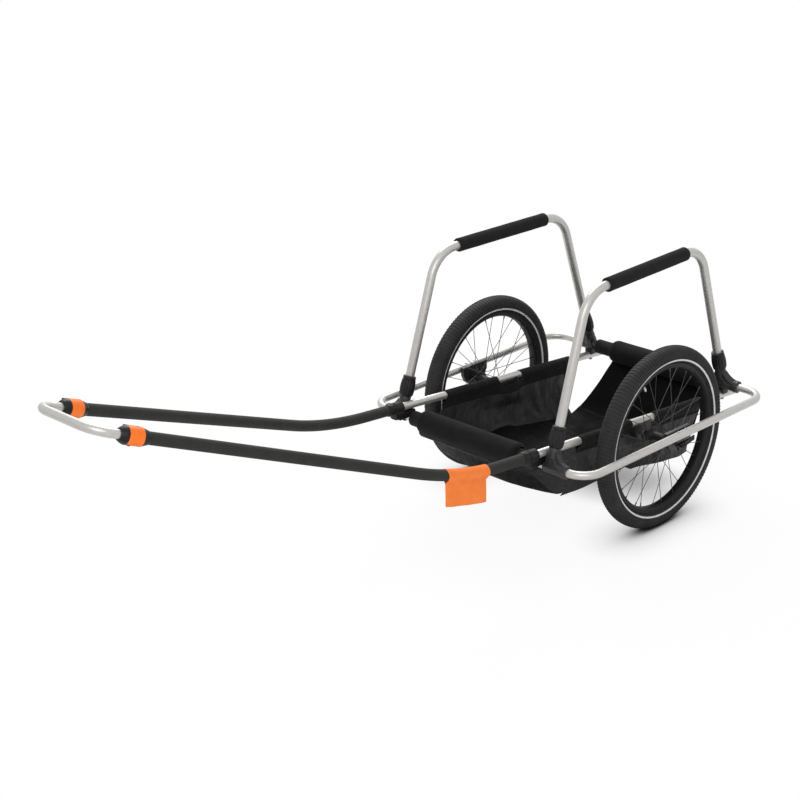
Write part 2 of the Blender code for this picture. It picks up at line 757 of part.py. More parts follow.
def build_clamp(side, name, hinge_empty, lever_empty):
    """Builds one barrel clamp with its orange lever; both sides are alike."""
    middle, forward = clamp_line(side)
    start = middle + forward * (CLAMP_LENGTH / 2)
    back = -forward
    size = CLAMP_RADIUS
    floor = size - LEVER_THICKNESS - GAP
    first = LEVER_START
    last = LEVER_START + LEVER_LENGTH
    body = solid(turned(start, back, [
        (0, size - 0.0070), (0.004, size - 0.0045), (first - 0.010, size - 0.0010),
        (first - GAP, size), (first - GAP, floor), (last + GAP, floor),
        (last + GAP, size - 0.0010), (CLAMP_LENGTH - 0.009, size - 0.0040),
        (CLAMP_LENGTH - 0.007, size - 0.0045), (CLAMP_LENGTH, size - 0.0055)], 16, False))
    joined(body, arc(start, back, (first - 0.001, last + 0.001),
                     (floor - 0.002, size - 0.0003), (HINGE_ANGLE + 16, 303), 7))
    knuckle = 0.0036
    inside = (first + 0.0095, last - 0.0095)
    hinge = clamp_point(side, 0, size, HINGE_ANGLE)
    joined(body, turned(hinge, back, [
        (first - 0.001, knuckle), (last + 0.001, knuckle)], 10, False))
    cut(body, turned(hinge, back, [
        (inside[0] - GAP, knuckle + 0.0006), (inside[1] + GAP, knuckle + 0.0006)], 12, False))
    joined(body, turned(hinge, back, [
        (inside[0] - 0.002, HINGE_PIN), (inside[1] + 0.002, HINGE_PIN)], 8, False))
    boss = clamp_point(side, (first + last) / 2, size - 0.001, 250)
    outward = (boss - clamp_point(side, (first + last) / 2, 0, 0)).normalized()
    joined(body, turned(boss - outward * 0.002, outward, [
        (0, 0.0050), (0.0035, 0.0050), (0.0050, 0.0038)], 10, False))
    stop = CLAMP_LENGTH / 2 - 0.005
    cut(body,
        tube([start + back * -0.01, start + back * stop], POLE_RADIUS - POLE_WALL - GAP),
        tube([start + back * (stop - GAP), start + back * 0.1], POLE_RADIUS + GAP))
    placed(body, name + "_clamp", "plastic", hinge_empty, middle)

    lever = solid(arc(start, back, (first, last), (size - LEVER_THICKNESS, size),
                      (LEVER_FROM, LEVER_TO), 10))
    ear = clamp_point(side, 0, size - LEVER_THICKNESS / 2, LEVER_TO - 6)
    reach = hinge - ear
    way = reach.normalized()
    flat = back.cross(way)
    long = reach.length - 0.0003
    outline = [(0, -0.0012), (long, -0.0011), (long, 0.0011), (0, 0.0012)]
    joined(lever,
           prism(ear, way, flat, outline, inside[0] + 0.0006, inside[1] - 0.0006),
           turned(hinge, back, [(inside[0], knuckle), (inside[1], knuckle)], 10, False))
    cut(lever, turned(hinge, back, [
        (first - 0.01, HINGE_PIN + GAP), (last + 0.01, HINGE_PIN + GAP)], 8, False))
    placed(lever, name + "_clamp_lever", "orange plastic", lever_empty, lever_pivot(side))


def build_handle(root):
    """Builds the U handle whose legs run inside the poles."""
    corner = pole_run(HANDLE_Y)
    end = CLAMP_MIDDLE - POLE_FORWARD * HANDLE_INSERT
    points = [end, corner, mirrored(corner), mirrored(end)]
    path = rounded(points, HANDLE_BEND, BEND_STEPS + 1)
    handle = solid(tube(path, HANDLE_RADIUS, HANDLE_RADIUS - TUBE_WALL))
    placed(handle, "handle", "aluminium", root, (corner + mirrored(corner)) / 2)


# Cloth bag

def floor_z(y):
    """Returns the height of the bag's floor."""
    part = (y - FLOOR_FRONT_Y) / (FLOOR_REAR_Y - FLOOR_FRONT_Y)
    return FLOOR_FRONT_Z + (FLOOR_REAR_Z - FLOOR_FRONT_Z) * part


def bag_strip():
    """Returns the cloth from the front roll over the floor to the rear roll."""
    lead = FRONT_BAR_Y
    trail = REAR_BAR_Y
    front = FLOOR_FRONT_Z
    rear = FLOOR_REAR_Z
    section = [
        (lead + 0.004, FRAME_HEIGHT - 0.0270, ROLL_HALF - 0.003, 0.0),
        (lead + 0.026, FRAME_HEIGHT - 0.0492, ROLL_HALF, 0.10),
        (lead + 0.058, FRAME_HEIGHT - 0.0852, ROLL_HALF + 0.003, 0.40),
        (lead + 0.083, front + 0.0240, ROLL_HALF + 0.007, 0.80),
        (lead + 0.102, front + 0.0070, ROLL_HALF + 0.012, 1.0),
        (FLOOR_FRONT_Y - 0.020, front + 0.0010, ROLL_HALF + 0.019, 1.0),
    ]
    for step in range(6):
        y = FLOOR_FRONT_Y + (FLOOR_REAR_Y - FLOOR_FRONT_Y) * step / 5
        section.append((y, floor_z(y), FLOOR_HALF, 1.0))
    section += [
        (FLOOR_REAR_Y + 0.032, rear - 0.0020, ROLL_HALF + 0.020, 1.0),
        (FLOOR_REAR_Y + 0.076, rear, ROLL_HALF + 0.013, 0.80),
        (trail - 0.067, rear + 0.0190, ROLL_HALF + 0.010, 0.50),
        (trail - 0.022, rear + 0.0540, ROLL_HALF + 0.006, 0.20),
        (trail + 0.0055, rear + 0.0860, ROLL_HALF + 0.003, 0.10),
        (trail + 0.0214, FRAME_HEIGHT - 0.0592, ROLL_HALF, 0.0),
        (trail + 0.0288, FRAME_HEIGHT - 0.0292, ROLL_HALF - 0.002, 0.0),
        (trail + 0.0282, FRAME_HEIGHT - 0.0103, ROLL_HALF - 0.003, 0.0),
    ]
    rows = []
    for y, z, half, share in section:
        row = []
        for step in range(7):
            part = step / 3 - 1
            sag = FLOOR_SAG * share * (1 - part ** 4)
            row.append(Vector((half * part, y, z - sag)))
        rows.append(row)
    return sheet(rows, CLOTH)


def bag_side(side):
    """Returns one side panel, hanging from its rail."""
    rows = []
    steps = 9
    levels = (0.0, 0.15, 0.45, 0.75, 1.0)
    for level in levels:
        row = []
        for step in range(steps + 1):
            part = step / steps
            low_y = FLOOR_FRONT_Y - 0.050
            low_y += (FLOOR_REAR_Y - FLOOR_FRONT_Y + 0.122) * part
            high_y = HEM_FRONT_Y + 0.004 + (HEM_REAR_Y - HEM_FRONT_Y - 0.008) * part
            bow = math.sin(math.pi * level) * 0.022
            y = low_y + (high_y - low_y) * level
            y += bow * (1 - part) ** 4 - bow * part ** 4
            hem = rail_point(high_y) - UP * (TUBE_RADIUS + GAP + CLOTH / 2)
            hem.x -= 0.002
            low_z = floor_z(low_y) - 0.006
            z = low_z + (hem.z - low_z) * level
            low_x = FLOOR_HALF - 0.007 + max(0.0, -0.20 - low_y) * 0.10
            x = low_x + (hem.x - low_x) * level ** 0.8
            x += 0.004 * math.sin(math.pi * level)
            row.append(Vector((x * side, y, z)))
        rows.append(row)
    return sheet(rows, CLOTH)


def bag_hem(side, front, rear):
    """Returns a stretch of the hem that wraps a rail."""
    ends = [rail_point(front), rail_point(rear)]
    if side < 0:
        ends = [mirrored(end) for end in ends]
    hole = TUBE_RADIUS + GAP
    return tube(ends, hole + CLOTH, hole)


def build_bag(root):
    """Builds the cloth bag as one thin trough."""
    bag = solid(bag_strip())
    for y in (FRONT_BAR_Y, REAR_BAR_Y):
        start = Vector((-ROLL_HALF, y, FRAME_HEIGHT))
        hole = FOAM_RADIUS + GAP
        bevel = 0.005
        joined(bag, turned(start, RIGHT, [
            (0, hole), (0, ROLL_RADIUS - bevel), (bevel, ROLL_RADIUS),
            (2 * ROLL_HALF - bevel, ROLL_RADIUS), (2 * ROLL_HALF, ROLL_RADIUS - bevel),
            (2 * ROLL_HALF, hole)], 16))
    for side in (1, -1):
        joined(bag, bag_side(side))
        for front, rear in ((HEM_FRONT_Y, -0.030), (0.045, HEM_REAR_Y)):
            joined(bag, bag_hem(side, front, rear))
        middle = (BAG_HOLE_FRONT_Y + BAG_HOLE_REAR_Y) / 2
        half = (BAG_HOLE_REAR_Y - BAG_HOLE_FRONT_Y) / 2
        low = BAG_HOLE_Z
        outline = [(middle - half, BAG_HOLE_TOP), (middle - half, low + 0.022),
                   (middle - half + 0.008, low + 0.007), (middle - half + 0.024, low),
                   (middle + half - 0.024, low), (middle + half - 0.008, low + 0.007),
                   (middle + half, low + 0.022), (middle + half, BAG_HOLE_TOP)]
        shift = RIGHT * (side * RAIL_X)
        cut(bag, prism(shift, BACK, UP, outline, -0.045, 0.045))
    placed(bag, "bag", "cloth", root, Vector((0, 0, -0.05)))


# Wheels

def build_rim(side, name, spin, way):
    """Builds a rim with its valve, which points back from the rim's floor."""
    middle = RIGHT * WHEEL_X * side
    half = RIM_HALF
    rim = solid(turned(middle, RIGHT, [
        (-half, RIM_OUTER), (-half, RIM_OUTER - 0.0105), (-0.010, RIM_INNER),
        (0.010, RIM_INNER), (half, RIM_OUTER - 0.0105), (half, RIM_OUTER),
        (half - 0.0025, RIM_OUTER), (half - 0.0030, RIM_FLOOR),
        (-half + 0.0030, RIM_FLOOR), (-half + 0.0025, RIM_OUTER)], RIM_SIDES))
    start = middle + way * (RIM_FLOOR * math.cos(math.pi / RIM_SIDES) - GAP)
    cut(rim, turned(start, -way, [
        (-0.004, VALVE_RADIUS + GAP), (0.020, VALVE_RADIUS + GAP)], 10, False))
    placed(rim, name + "_rim", "black metal", spin, middle)

    valve = turned(start, -way, [
        (0, VALVE_RADIUS - 0.0004), (VALVE_LENGTH - 0.008, VALVE_RADIUS - 0.0004),
        (VALVE_LENGTH - 0.008, VALVE_RADIUS + 0.0006), (VALVE_LENGTH, VALVE_RADIUS + 0.0004),
        ], 10, False)
    placed(solid(valve), name + "_valve", "brass", spin, middle)


def build_wheel(spins):
    """Builds both wheels; each rim's valve stands where it came to rest."""
    build_rim(1, "left", spins[0], LEFT_VALVE_WAY)
    build_rim(-1, "right", spins[1], RIGHT_VALVE_WAY)
    middle = RIGHT * WHEEL_X
    half = RIM_HALF
    tall = WHEEL_RADIUS / math.cos(math.pi / RIM_SIDES)
    wide = TYRE_HALF
    neck = half - 0.0030 - GAP
    outline = [(neck - 0.001, RIM_FLOOR + GAP), (neck, RIM_OUTER + GAP),
               (half + 0.0005, RIM_OUTER + 0.0012), (wide - 0.001, tall - 0.033),
               (wide - 0.0003, tall - 0.0200), (wide - 0.0095, tall - 0.0040),
               (0.006, tall)]
    whole = outline + [(-x, radius) for x, radius in reversed(outline)]
    pair(solid(turned(middle, RIGHT, whole, RIM_SIDES)), "tyre", "rubber", spins, middle)

    build_hub(spins)


def build_hub(spins):
    """Builds the hub with its spokes."""
    middle = RIGHT * WHEEL_X
    hole = AXLE_RADIUS + GAP
    flange = 0.002
    outline = [(HUB_HALF, hole), (HUB_HALF, 0.0095), (FLANGE_X + flange, 0.013),
               (FLANGE_X + flange, FLANGE_RADIUS), (FLANGE_X - flange, FLANGE_RADIUS),
               (FLANGE_X - flange - 0.004, HUB_RADIUS)]
    whole = outline + [(-x, radius) for x, radius in reversed(outline)]
    hub = solid(turned(middle, RIGHT, whole, 14))
    mesh = bmesh.new()
    holes = SPOKE_COUNT // 2
    for flank in (1, -1):
        for number in range(holes):
            lead = 1 if number % 2 else -1
            offset = 0.5 if flank < 0 else 0.0
            near = 2 * math.pi * (number + offset) / holes + math.radians(SPOKE_TURN)
            far = near + lead * 4 * math.pi / holes
            hub_x = flank * (FLANGE_X + lead * (flange - 0.0002))
            rim_x = flank * (0.0035 + lead * 0.0020)
            inner = middle + Vector((hub_x, 0.0190 * math.cos(near), 0.0190 * math.sin(near)))
            reach = RIM_INNER * math.cos(math.pi / RIM_SIDES) - GAP
            outer = middle + Vector((rim_x, reach * math.cos(far), reach * math.sin(far)))
            add_bar(mesh, inner, outer, SPOKE_RADIUS)
    joined(hub, mesh)
    pair(hub, "hub", "black metal", spins, middle)


def add_bar(mesh, start, end, radius):
    """Adds a thin three-sided bar to the mesh."""
    along = (end - start).normalized()
    side = across(along)
    other = along.cross(side)
    rows = []
    for place in (start, end):
        row = []
        for corner in range(3):
            angle = 2 * math.pi * corner / 3
            spoke = side * math.cos(angle) + other * math.sin(angle)
            row.append(mesh.verts.new(place + spoke * radius))
        rows.append(row)
    bridge(mesh, rows[0], rows[1])
    mesh.faces.new(reversed(rows[0]))
    mesh.faces.new(rows[1])


def bracket_outline(reach, top):
    """Returns a bracket's outline with a round bottom about the axle."""
    size = BRACKET_ROUND
    lower = max(reach - 0.020, size - 0.002)
    outline = [(-reach, top), (-reach, 0.016), (0.010 - reach, -0.004), (-lower, -0.0125)]
    for angle in (217, 243, 270, 297, 323):
        turn = math.radians(angle)
        outline.append((size * math.cos(turn), size * math.sin(turn)))
    outline += [(lower, -0.0125), (reach - 0.010, -0.004), (reach, 0.016), (reach, top)]
    return outline


def axle_slot(x):
    """Returns the tools that cut the axle's slot, open at its foot."""
    slot = AXLE_RADIUS + GAP
    start = Vector((x - 0.03, 0, 0))
    return (turned(start, RIGHT, [(0, slot), (0.06, slot)], 12, False),
            block((x - 0.03, 0.0002 - slot, -0.05), (x + 0.03, slot - 0.0002, 0.0)))


def build_brackets(root):
    """Builds the brackets that carry the axles under the rails and the loops."""
    reach = OUTER_BRACKET_REACH
    half = OUTER_PLATE_HALF
    outline = bracket_outline(reach, FRAME_HEIGHT + TUBE_RADIUS)
    plate = solid(prism(RIGHT * OUTER_PLATE_X, BACK, UP, outline, -half, half))
    joined(plate, block(
        (OUTER_PLATE_X + 0.001, -SADDLE_REACH, SADDLE_LOW),
        (LOOP_X + 0.006, SADDLE_REACH, FRAME_HEIGHT - 0.002)))
    loop = Vector((LOOP_X, 0, FRAME_HEIGHT))
    cut(plate,
        tube([loop - BACK * 0.1, loop + BACK * 0.1], TUBE_RADIUS + GAP, sides=12),
        *axle_slot(OUTER_PLATE_X))
    pair(plate, "outer_bracket", "plastic", (root, root), Vector((OUTER_PLATE_X, 0, 0)))

    rail = rail_point(0)
    half = INNER_BRACKET_HALF
    outline = bracket_outline(INNER_BRACKET_REACH, rail.z - 0.002)
    cradle = solid(prism(RIGHT * RAIL_X, BACK, UP, outline, -half, half))
    cut(cradle,
        tube([rail_point(-0.1), rail_point(0.1)], TUBE_RADIUS + GAP, sides=12),
        *axle_slot(RAIL_X))
    pair(cradle, "inner_bracket", "plastic", (root, root), Vector((RAIL_X, 0, 0)))


def build_axles(root, quick_hinges):
    """Builds the axles with their nuts and levers."""
    inside = RAIL_X - INNER_BRACKET_HALF
    outside = OUTER_PLATE_X + OUTER_PLATE_HALF
    inner_face = RAIL_X + INNER_BRACKET_HALF + GAP
    outer_face = OUTER_PLATE_X - OUTER_PLATE_HALF - GAP
    hub_low = WHEEL_X - HUB_HALF - GAP
    hub_high = WHEEL_X + HUB_HALF + GAP
    collar = 0.0085
    shaft = AXLE_RADIUS
    cup = outside + GAP
    hinge_x = cup + QUICK_OFFSET
    axle = solid(turned(Vector((0, 0, 0)), RIGHT, [
        (inside - 0.012, shaft), (inner_face, shaft), (inner_face, collar), (hub_low, collar),
        (hub_low, shaft), (hub_high, shaft), (hub_high, collar), (outer_face, collar),
        (outer_face, shaft), (cup, shaft), (cup, 0.0105), (cup + 0.0025, 0.0105),
        (cup + 0.0035, 0.0090)], 12, False))
    tilt = math.radians(QUICK_TILT)
    lever_way = Vector((0, math.cos(tilt), math.sin(tilt)))
    hinge_way = Vector((0, -math.sin(tilt), math.cos(tilt)))
    hinge = Vector((hinge_x, 0, 0))
    tongue = 0.0025
    eye = 0.0058
    outline = [(cup + 0.002 - hinge_x, -eye), (0, -eye)]
    for angle in (-60, -30, 0, 30, 60):
        turn = math.radians(angle)
        outline.append((eye * math.cos(turn), eye * math.sin(turn)))
    outline += [(0, eye), (cup + 0.002 - hinge_x, eye)]
    joined(axle, prism(hinge, RIGHT, lever_way, outline, -tongue, tongue))
    pin = 0.0022
    cut(axle, turned(hinge - hinge_way * 0.02, hinge_way, [
        (0, pin + GAP), (0.04, pin + GAP)], 10, False))
    pair(axle, "axle", "steel", (root, root), Vector((WHEEL_X, 0, 0)))

    head = 0.0066
    width = 0.0072
    outline = [(0, -0.0058), (0.016, -0.0058), (0.030, -0.0040),
               (QUICK_LENGTH, -0.0012), (QUICK_LENGTH + 0.002, 0.0012),
               (QUICK_LENGTH, 0.0034), (0.028, 0.0016), (0.016, 0.0008), (0, 0.0058)]
    flat = [(distance, -out) for distance, out in outline]
    lever = solid(prism(hinge, lever_way, RIGHT, flat, -width, width))
    joined(lever, turned(hinge - hinge_way * width, hinge_way, [
        (0.0004, head), (2 * width - 0.0004, head)], 14, False))
    cut(lever,
        prism(hinge, RIGHT, lever_way, [(-0.02, -0.02), (0.02, -0.02), (0.02, 0.0085),
                                         (-0.02, 0.0085)], -tongue - GAP, tongue + GAP))
    joined(lever, turned(hinge - hinge_way * 0.005, hinge_way, [
        (0, pin), (0.010, pin)], 10, False))
    pair(lever, "quick_lever", "black metal", quick_hinges, hinge)

    nut_x = inside - GAP
    hole = bore(shaft, 8)
    nut = turned(Vector((nut_x, 0, 0)), -RIGHT, [
        (0, hole), (0, 0.0100), (0.002, 0.0100), (0.0025, 0.0085),
        (0.009, 0.0085), (0.010, 0.0075), (0.010, hole)], 8)
    pair(solid(nut), "axle_nut", "steel", (root, root), Vector((nut_x, 0, 0)))


def build():
    """Builds the whole trailer."""
    for item in list(bpy.data.objects):
        bpy.data.objects.remove(item, do_unlink=True)
    root = empty("trailer", Vector((0, AXLE_Y, WHEEL_RADIUS)))
    pivot = rail_point(POLE_PIVOT_Y)
    hinges = (empty("left_pole_hinge", pivot, root),
              empty("right_pole_hinge", mirrored(pivot), root))
    levers = (empty("left_lever_hinge", lever_pivot(1), hinges[0]),
              empty("right_lever_hinge", lever_pivot(-1), hinges[1]))
    spins = (empty("left_wheel_spin", RIGHT * WHEEL_X, root),
             empty("right_wheel_spin", RIGHT * -WHEEL_X, root))
    quick = RIGHT * (OUTER_PLATE_X + OUTER_PLATE_HALF + GAP + QUICK_OFFSET)
    quicks = (empty("left_quick_hinge", quick, root),
              empty("right_quick_hinge", mirrored(quick), root))
    build_crossbars(root)
    build_rails(root)
    build_loops(root)
    build_hoops(root)
    build_tees(root)
    build_poles(hinges)
    build_tag(hinges[0])
    build_clamp(1, "left", hinges[0], levers[0])
    build_clamp(-1, "right", hinges[1], levers[1])
    build_handle(root)
    build_bag(root)
    build_wheel(spins)
    build_brackets(root)
    build_axles(root, quicks)


build()
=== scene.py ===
"""Cargo trailer with padded hoops, a cloth bag and a U handle.

Sizes are in metres. Pieces are drawn from the middle of the wheels' axle, and
the finished piece is then moved to the axle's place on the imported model.
"""

import math

import bpy
from bpy.props import FloatProperty, FloatVectorProperty, IntProperty, PointerProperty
from mathutils import Matrix, Vector, noise


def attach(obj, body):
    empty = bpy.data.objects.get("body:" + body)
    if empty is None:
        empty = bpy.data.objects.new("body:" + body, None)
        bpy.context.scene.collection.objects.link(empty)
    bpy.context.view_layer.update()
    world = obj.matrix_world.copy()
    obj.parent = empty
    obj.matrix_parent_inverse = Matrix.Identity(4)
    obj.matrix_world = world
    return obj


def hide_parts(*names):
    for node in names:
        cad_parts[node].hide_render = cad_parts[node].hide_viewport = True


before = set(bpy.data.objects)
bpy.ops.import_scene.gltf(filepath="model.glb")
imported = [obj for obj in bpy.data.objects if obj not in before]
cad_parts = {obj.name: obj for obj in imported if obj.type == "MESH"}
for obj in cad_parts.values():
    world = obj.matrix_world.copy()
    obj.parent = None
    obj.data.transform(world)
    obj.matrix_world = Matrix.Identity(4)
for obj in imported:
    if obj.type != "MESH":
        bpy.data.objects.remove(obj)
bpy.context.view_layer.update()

bl_info = {
    "name": "Cargo trailer",
    "version": (1, 0, 0),
    "blender": (4, 5, 0),
    "location": "3D View > Sidebar > Trailer",
    "description": "Builds a two-wheeled cargo trailer with a cloth bag and a U handle",
    "category": "Object",
}

AXLE = Vector((0, 0.6265, 0.254))
RIGHT = Vector((1, 0, 0))
BACK = Vector((0, 1, 0))
UP = Vector((0, 0, 1))
GAP = 0.0003


# Sizes and colours

def length(name, text, value, low=0.0001):
    """Returns a settable size."""
    return FloatProperty(name=name, description=text, default=value, min=low,
                         unit="LENGTH", precision=4)


def paint(name, text, value):
    """Returns a settable colour."""
    return FloatVectorProperty(name=name, description=text, default=value, size=3,
                               min=0.0, max=1.0, subtype="COLOR")


class TrailerSizes(bpy.types.PropertyGroup):
    """Sizes that can be changed before the pieces are made."""

    tube: length("Frame tube", "Radius of the rails, crossbars, guards and handle", 0.011)
    tube_wall: length("Tube wall", "Thickness of the aluminium tubes", 0.0016)
    hoop: length("Hoop tube", "Radius of the two hoops", 0.0125)
    hoop_bend: length("Hoop bend", "Radius of the hoops' upper bends", 0.094)
    guard_bend: length("Guard bend", "Radius of the wheel guards' bends", 0.060)
    foam: length("Foam tube", "Radius of the foam on the crossbars", 0.021)
    grip: length("Grip", "Radius of the foam on the hoops", 0.019)
    roll: length("Cloth roll", "Radius of the bag's rolls round the foam", 0.0335)
    cloth: length("Cloth", "Thickness of the bag's cloth", 0.0014)
    sleeve: length("Pole cover", "Radius of the poles with their covers", 0.0147)
    tag_drop: length("Tag drop", "How far the tag hangs below its pole", 0.070)
    wheel: length("Wheel", "Radius over the tyre's tread", 0.254)
    tyre_half: length("Tyre half width", "Half of the tyre's width", 0.025)
    spoke: length("Spoke", "Radius of a spoke", 0.0009)
    spokes: IntProperty(name="Spokes", description="Spokes in each wheel",
                        default=28, min=12, max=48)
    treads: IntProperty(name="Tread blocks", description="Rows of blocks round each tyre",
                        default=150, min=24, max=180)


class TrailerColours(bpy.types.PropertyGroup):
    """Colours that can be changed before the pieces are made."""

    aluminium: paint("Aluminium", "Bare tubes", (0.525, 0.510, 0.490))
    casting: paint("Castings", "Corner castings and brackets", (0.0150, 0.0150, 0.0156))
    plastic: paint("Plastic", "Nuts, tees and barrel clamps", (0.0065, 0.0065, 0.0069))
    foam: paint("Foam", "Grips and crossbar foam", (0.0115, 0.0115, 0.0125))
    sleeve: paint("Pole cover", "Cover of the two poles", (0.0255, 0.0255, 0.0240))
    cloth: paint("Cloth", "Rolls and hems of the bag", (0.0062, 0.0062, 0.0066))
    lining: paint("Lining", "Side panels of the bag", (0.0235, 0.0255, 0.0240))
    # The trough's colour is the lining cloth darkened about ten times: painted shade for the
    # inside of the bag under the rolls.
    trough: paint("Trough", "Long strip under the load", (0.0022, 0.0023, 0.0023))
    tag: paint("Tag", "Cloth tag on the left pole", (0.98, 0.240, 0.048))
    latch: paint("Latch", "Levers of the barrel clamps", (0.96, 0.190, 0.016))
    rubber: paint("Rubber", "Tyres", (0.0185, 0.0185, 0.0192))
    band: paint("Band", "Pale reflecting ring on the tyres", (0.66, 0.67, 0.68))
    black_metal: paint("Black metal", "Rims, hubs and quick levers", (0.0075, 0.0075, 0.0080))
    steel: paint("Steel", "Bolts and axles", (0.45, 0.45, 0.45))
    wire: paint("Wire", "Spokes and their nipples", (0.075, 0.072, 0.068))
    nickel: paint("Nickel", "Valves", (0.66, 0.62, 0.52))


def sizes():
    """Returns the sizes that the scene holds."""
    return bpy.context.scene.trailer_sizes


def colours():
    """Returns the colours that the scene holds."""
    return bpy.context.scene.trailer_colours


# Lines that several pieces share

SIDES = ((1, "left"), (-1, "right"))
FRAME_HEIGHT = 0.0292
FRONT_BAR_Y = -0.400
REAR_BAR_Y = 0.382
GUARD_X = 0.3825
RAIL_X = 0.240
RAIL_LIFT = 0.0334
RAIL_SLOPE = 2 * RAIL_LIFT / (REAR_BAR_Y - FRONT_BAR_Y)
RAIL_FRONT_Y = -0.438
RAIL_REAR_Y = 0.435
HOOP_FRONT_X = 0.2675
HOOP_REAR_X = 0.2387
HOOP_TOP = 0.4625
HOOP_FRONT_CORNER_Y = -0.2605
HOOP_REAR_CORNER_Y = 0.2395
NECK_HEIGHT = 0.0515
GRIP_FRONT_Y = -0.182
GRIP_REAR_Y = 0.166
FRONT_FOAM_HALF = 0.222
REAR_FOAM_HALF = 0.212
BAR_IN_SOCKET = 0.0167
GUARD_IN_SOCKET = 0.0173
HOOP_IN_SOCKET = 0.0138
TEE_REAR_Y = -0.4315
TEE_FRONT_Y = -0.4620
POLE_BEND = 0.90
CLAMP_LENGTH = 0.074
CLAMP_RADIUS = 0.0215
CLAMP_SLIDES = {1: 0.005, -1: -0.011}
LATCH_SPAN = (0.0170, 0.0550)
LATCH_HINGE_ANGLE = 132.0
HANDLE_Y = -1.678
HANDLE_BEND = 0.055
HANDLE_INSIDE = 0.200
TAG_REAR_Y = -0.6165
TAG_LENGTH = 0.1370
WHEEL_X = 0.310
HUB_HALF = 0.0483
SPOKE_PHASE = math.radians(5.57)
PLATE_X = 0.3655
PLATE_HALF = 0.0055
LEVER_TILT = math.radians(4)
VALVE_WAYS = {1: Vector((0, -0.42, 0.907)), -1: Vector((0, 0.21, -0.98))}


def rail_point(y):
    """Returns the place on the left rail's line at the given y."""
    return Vector((RAIL_X, y, FRAME_HEIGHT + RAIL_LIFT - RAIL_SLOPE * (y - FRONT_BAR_Y)))


def hoop_x(y):
    """Returns how far out the hoop's upright plane lies at the given y."""
    part = (y - FRONT_BAR_Y) / (REAR_BAR_Y - FRONT_BAR_Y)
    return HOOP_FRONT_X + (HOOP_REAR_X - HOOP_FRONT_X) * part


RAIL_FORWARD = (rail_point(-1) - rail_point(0)).normalized()
FRONT_FOOT = Vector((HOOP_FRONT_X, FRONT_BAR_Y, FRAME_HEIGHT))
REAR_FOOT = Vector((HOOP_REAR_X, REAR_BAR_Y, FRAME_HEIGHT))
FRONT_TOP = Vector((hoop_x(HOOP_FRONT_CORNER_Y), HOOP_FRONT_CORNER_Y, HOOP_TOP))
REAR_TOP = Vector((hoop_x(HOOP_REAR_CORNER_Y), HOOP_REAR_CORNER_Y, HOOP_TOP))
POLE_CORNER = rail_point(-0.7084)
CLAMP_MIDDLE = Vector((0.1174, -1.5822, 0.4390))
POLE_FORWARD = (CLAMP_MIDDLE - POLE_CORNER).normalized()


def mirrored(place):
    """Returns the same place on the right side."""
    return Vector((-place.x, place.y, place.z))


def corner_ways(before, corner, after, radius):
    """Returns the ways into and out of a rounded corner, its inner side, turn and reach."""
    inward = (corner - before).normalized()
    outward = (after - corner).normalized()
    turn = inward.angle(outward)
    side = (outward - inward * inward.dot(outward)).normalized()
    return inward, outward, side, turn, radius * math.tan(turn / 2)


def rounded(points, radius, steps):
    """Returns the path through the points with every corner rounded."""
    path = [points[0]]
    for before, corner, after in zip(points, points[1:], points[2:]):
        inward, _, side, turn, reach = corner_ways(before, corner, after, radius)
        for step in range(steps + 1):
            angle = turn * step / steps
            path.append(corner + inward * (radius * math.sin(angle) - reach)
                        + side * radius * (1 - math.cos(angle)))
    return path + [points[-1]]


def pole_place(y):
    """Returns the place on the left pole's middle line at the given y."""
    path = rounded([rail_point(TEE_REAR_Y), POLE_CORNER, CLAMP_MIDDLE], POLE_BEND, 24)
    for first, second in zip(path, path[1:]):
        if second.y <= y <= first.y:
            return first.lerp(second, (y - first.y) / (second.y - first.y))
    return path[-1]


def pole_ways(y):
    """Returns the place on the left pole's middle line, the way ahead and the level way."""
    ahead = (pole_place(y - 0.01) - pole_place(y + 0.01)).normalized()
    return pole_place(y), ahead, UP.cross(ahead).normalized()


# Workshop: what is done to a piece by hand

def alone(*pieces):
    """Leaves edit mode and selects only these pieces."""
    if bpy.context.mode != "OBJECT":
        bpy.ops.object.mode_set(mode="OBJECT")
    bpy.ops.object.select_all(action="DESELECT")
    for piece in pieces:
        piece.select_set(True)
    bpy.context.view_layer.objects.active = pieces[0] if pieces else None


def apply(piece, kind, **settings):
    """Adds a modifier with these settings and applies it."""
    alone(piece)
    change = piece.modifiers.new("shape", kind)
    for key, value in settings.items():
        setattr(change, key, value)
    bpy.ops.object.modifier_apply(modifier=change.name)
    return piece


def bevelled(piece, width, segments=2, angle=32):
    """Rounds the piece's sharp edges."""
    return apply(piece, "BEVEL", width=width, segments=segments, limit_method="ANGLE",
                 angle_limit=math.radians(angle))


def settled(piece):
    """Applies the piece's place, turn and scale to its mesh."""
    alone(piece)
    bpy.ops.object.transform_apply(location=True, rotation=True, scale=True)
    return piece


def edited(piece, step, **settings):
    """Runs one editing step on the whole of a piece."""
    alone(piece)
    bpy.ops.object.mode_set(mode="EDIT")
    bpy.ops.mesh.select_all(action="SELECT")
    step(**settings)
    bpy.ops.object.mode_set(mode="OBJECT")
    return piece


def outwards(piece):
    """Turns the faces of a closed piece outwards."""
    return edited(piece, bpy.ops.mesh.normals_make_consistent, inside=False)


def joined(*pieces):
    """Joins pieces into the first one."""
    for piece in pieces:
        settled(piece)
    alone(*pieces)
    bpy.ops.object.join()
    return bpy.context.object


def cut(piece, *tools):
    """Cuts the tools out of the piece."""
    for tool in tools:
        apply(piece, "BOOLEAN", operation="DIFFERENCE", solver="EXACT", object=tool)
        bpy.data.objects.remove(tool, do_unlink=True)
    return piece


def extrude(way):
    """Draws what is selected out along a way."""
    bpy.ops.mesh.extrude_region()
    bpy.ops.transform.translate(value=way)


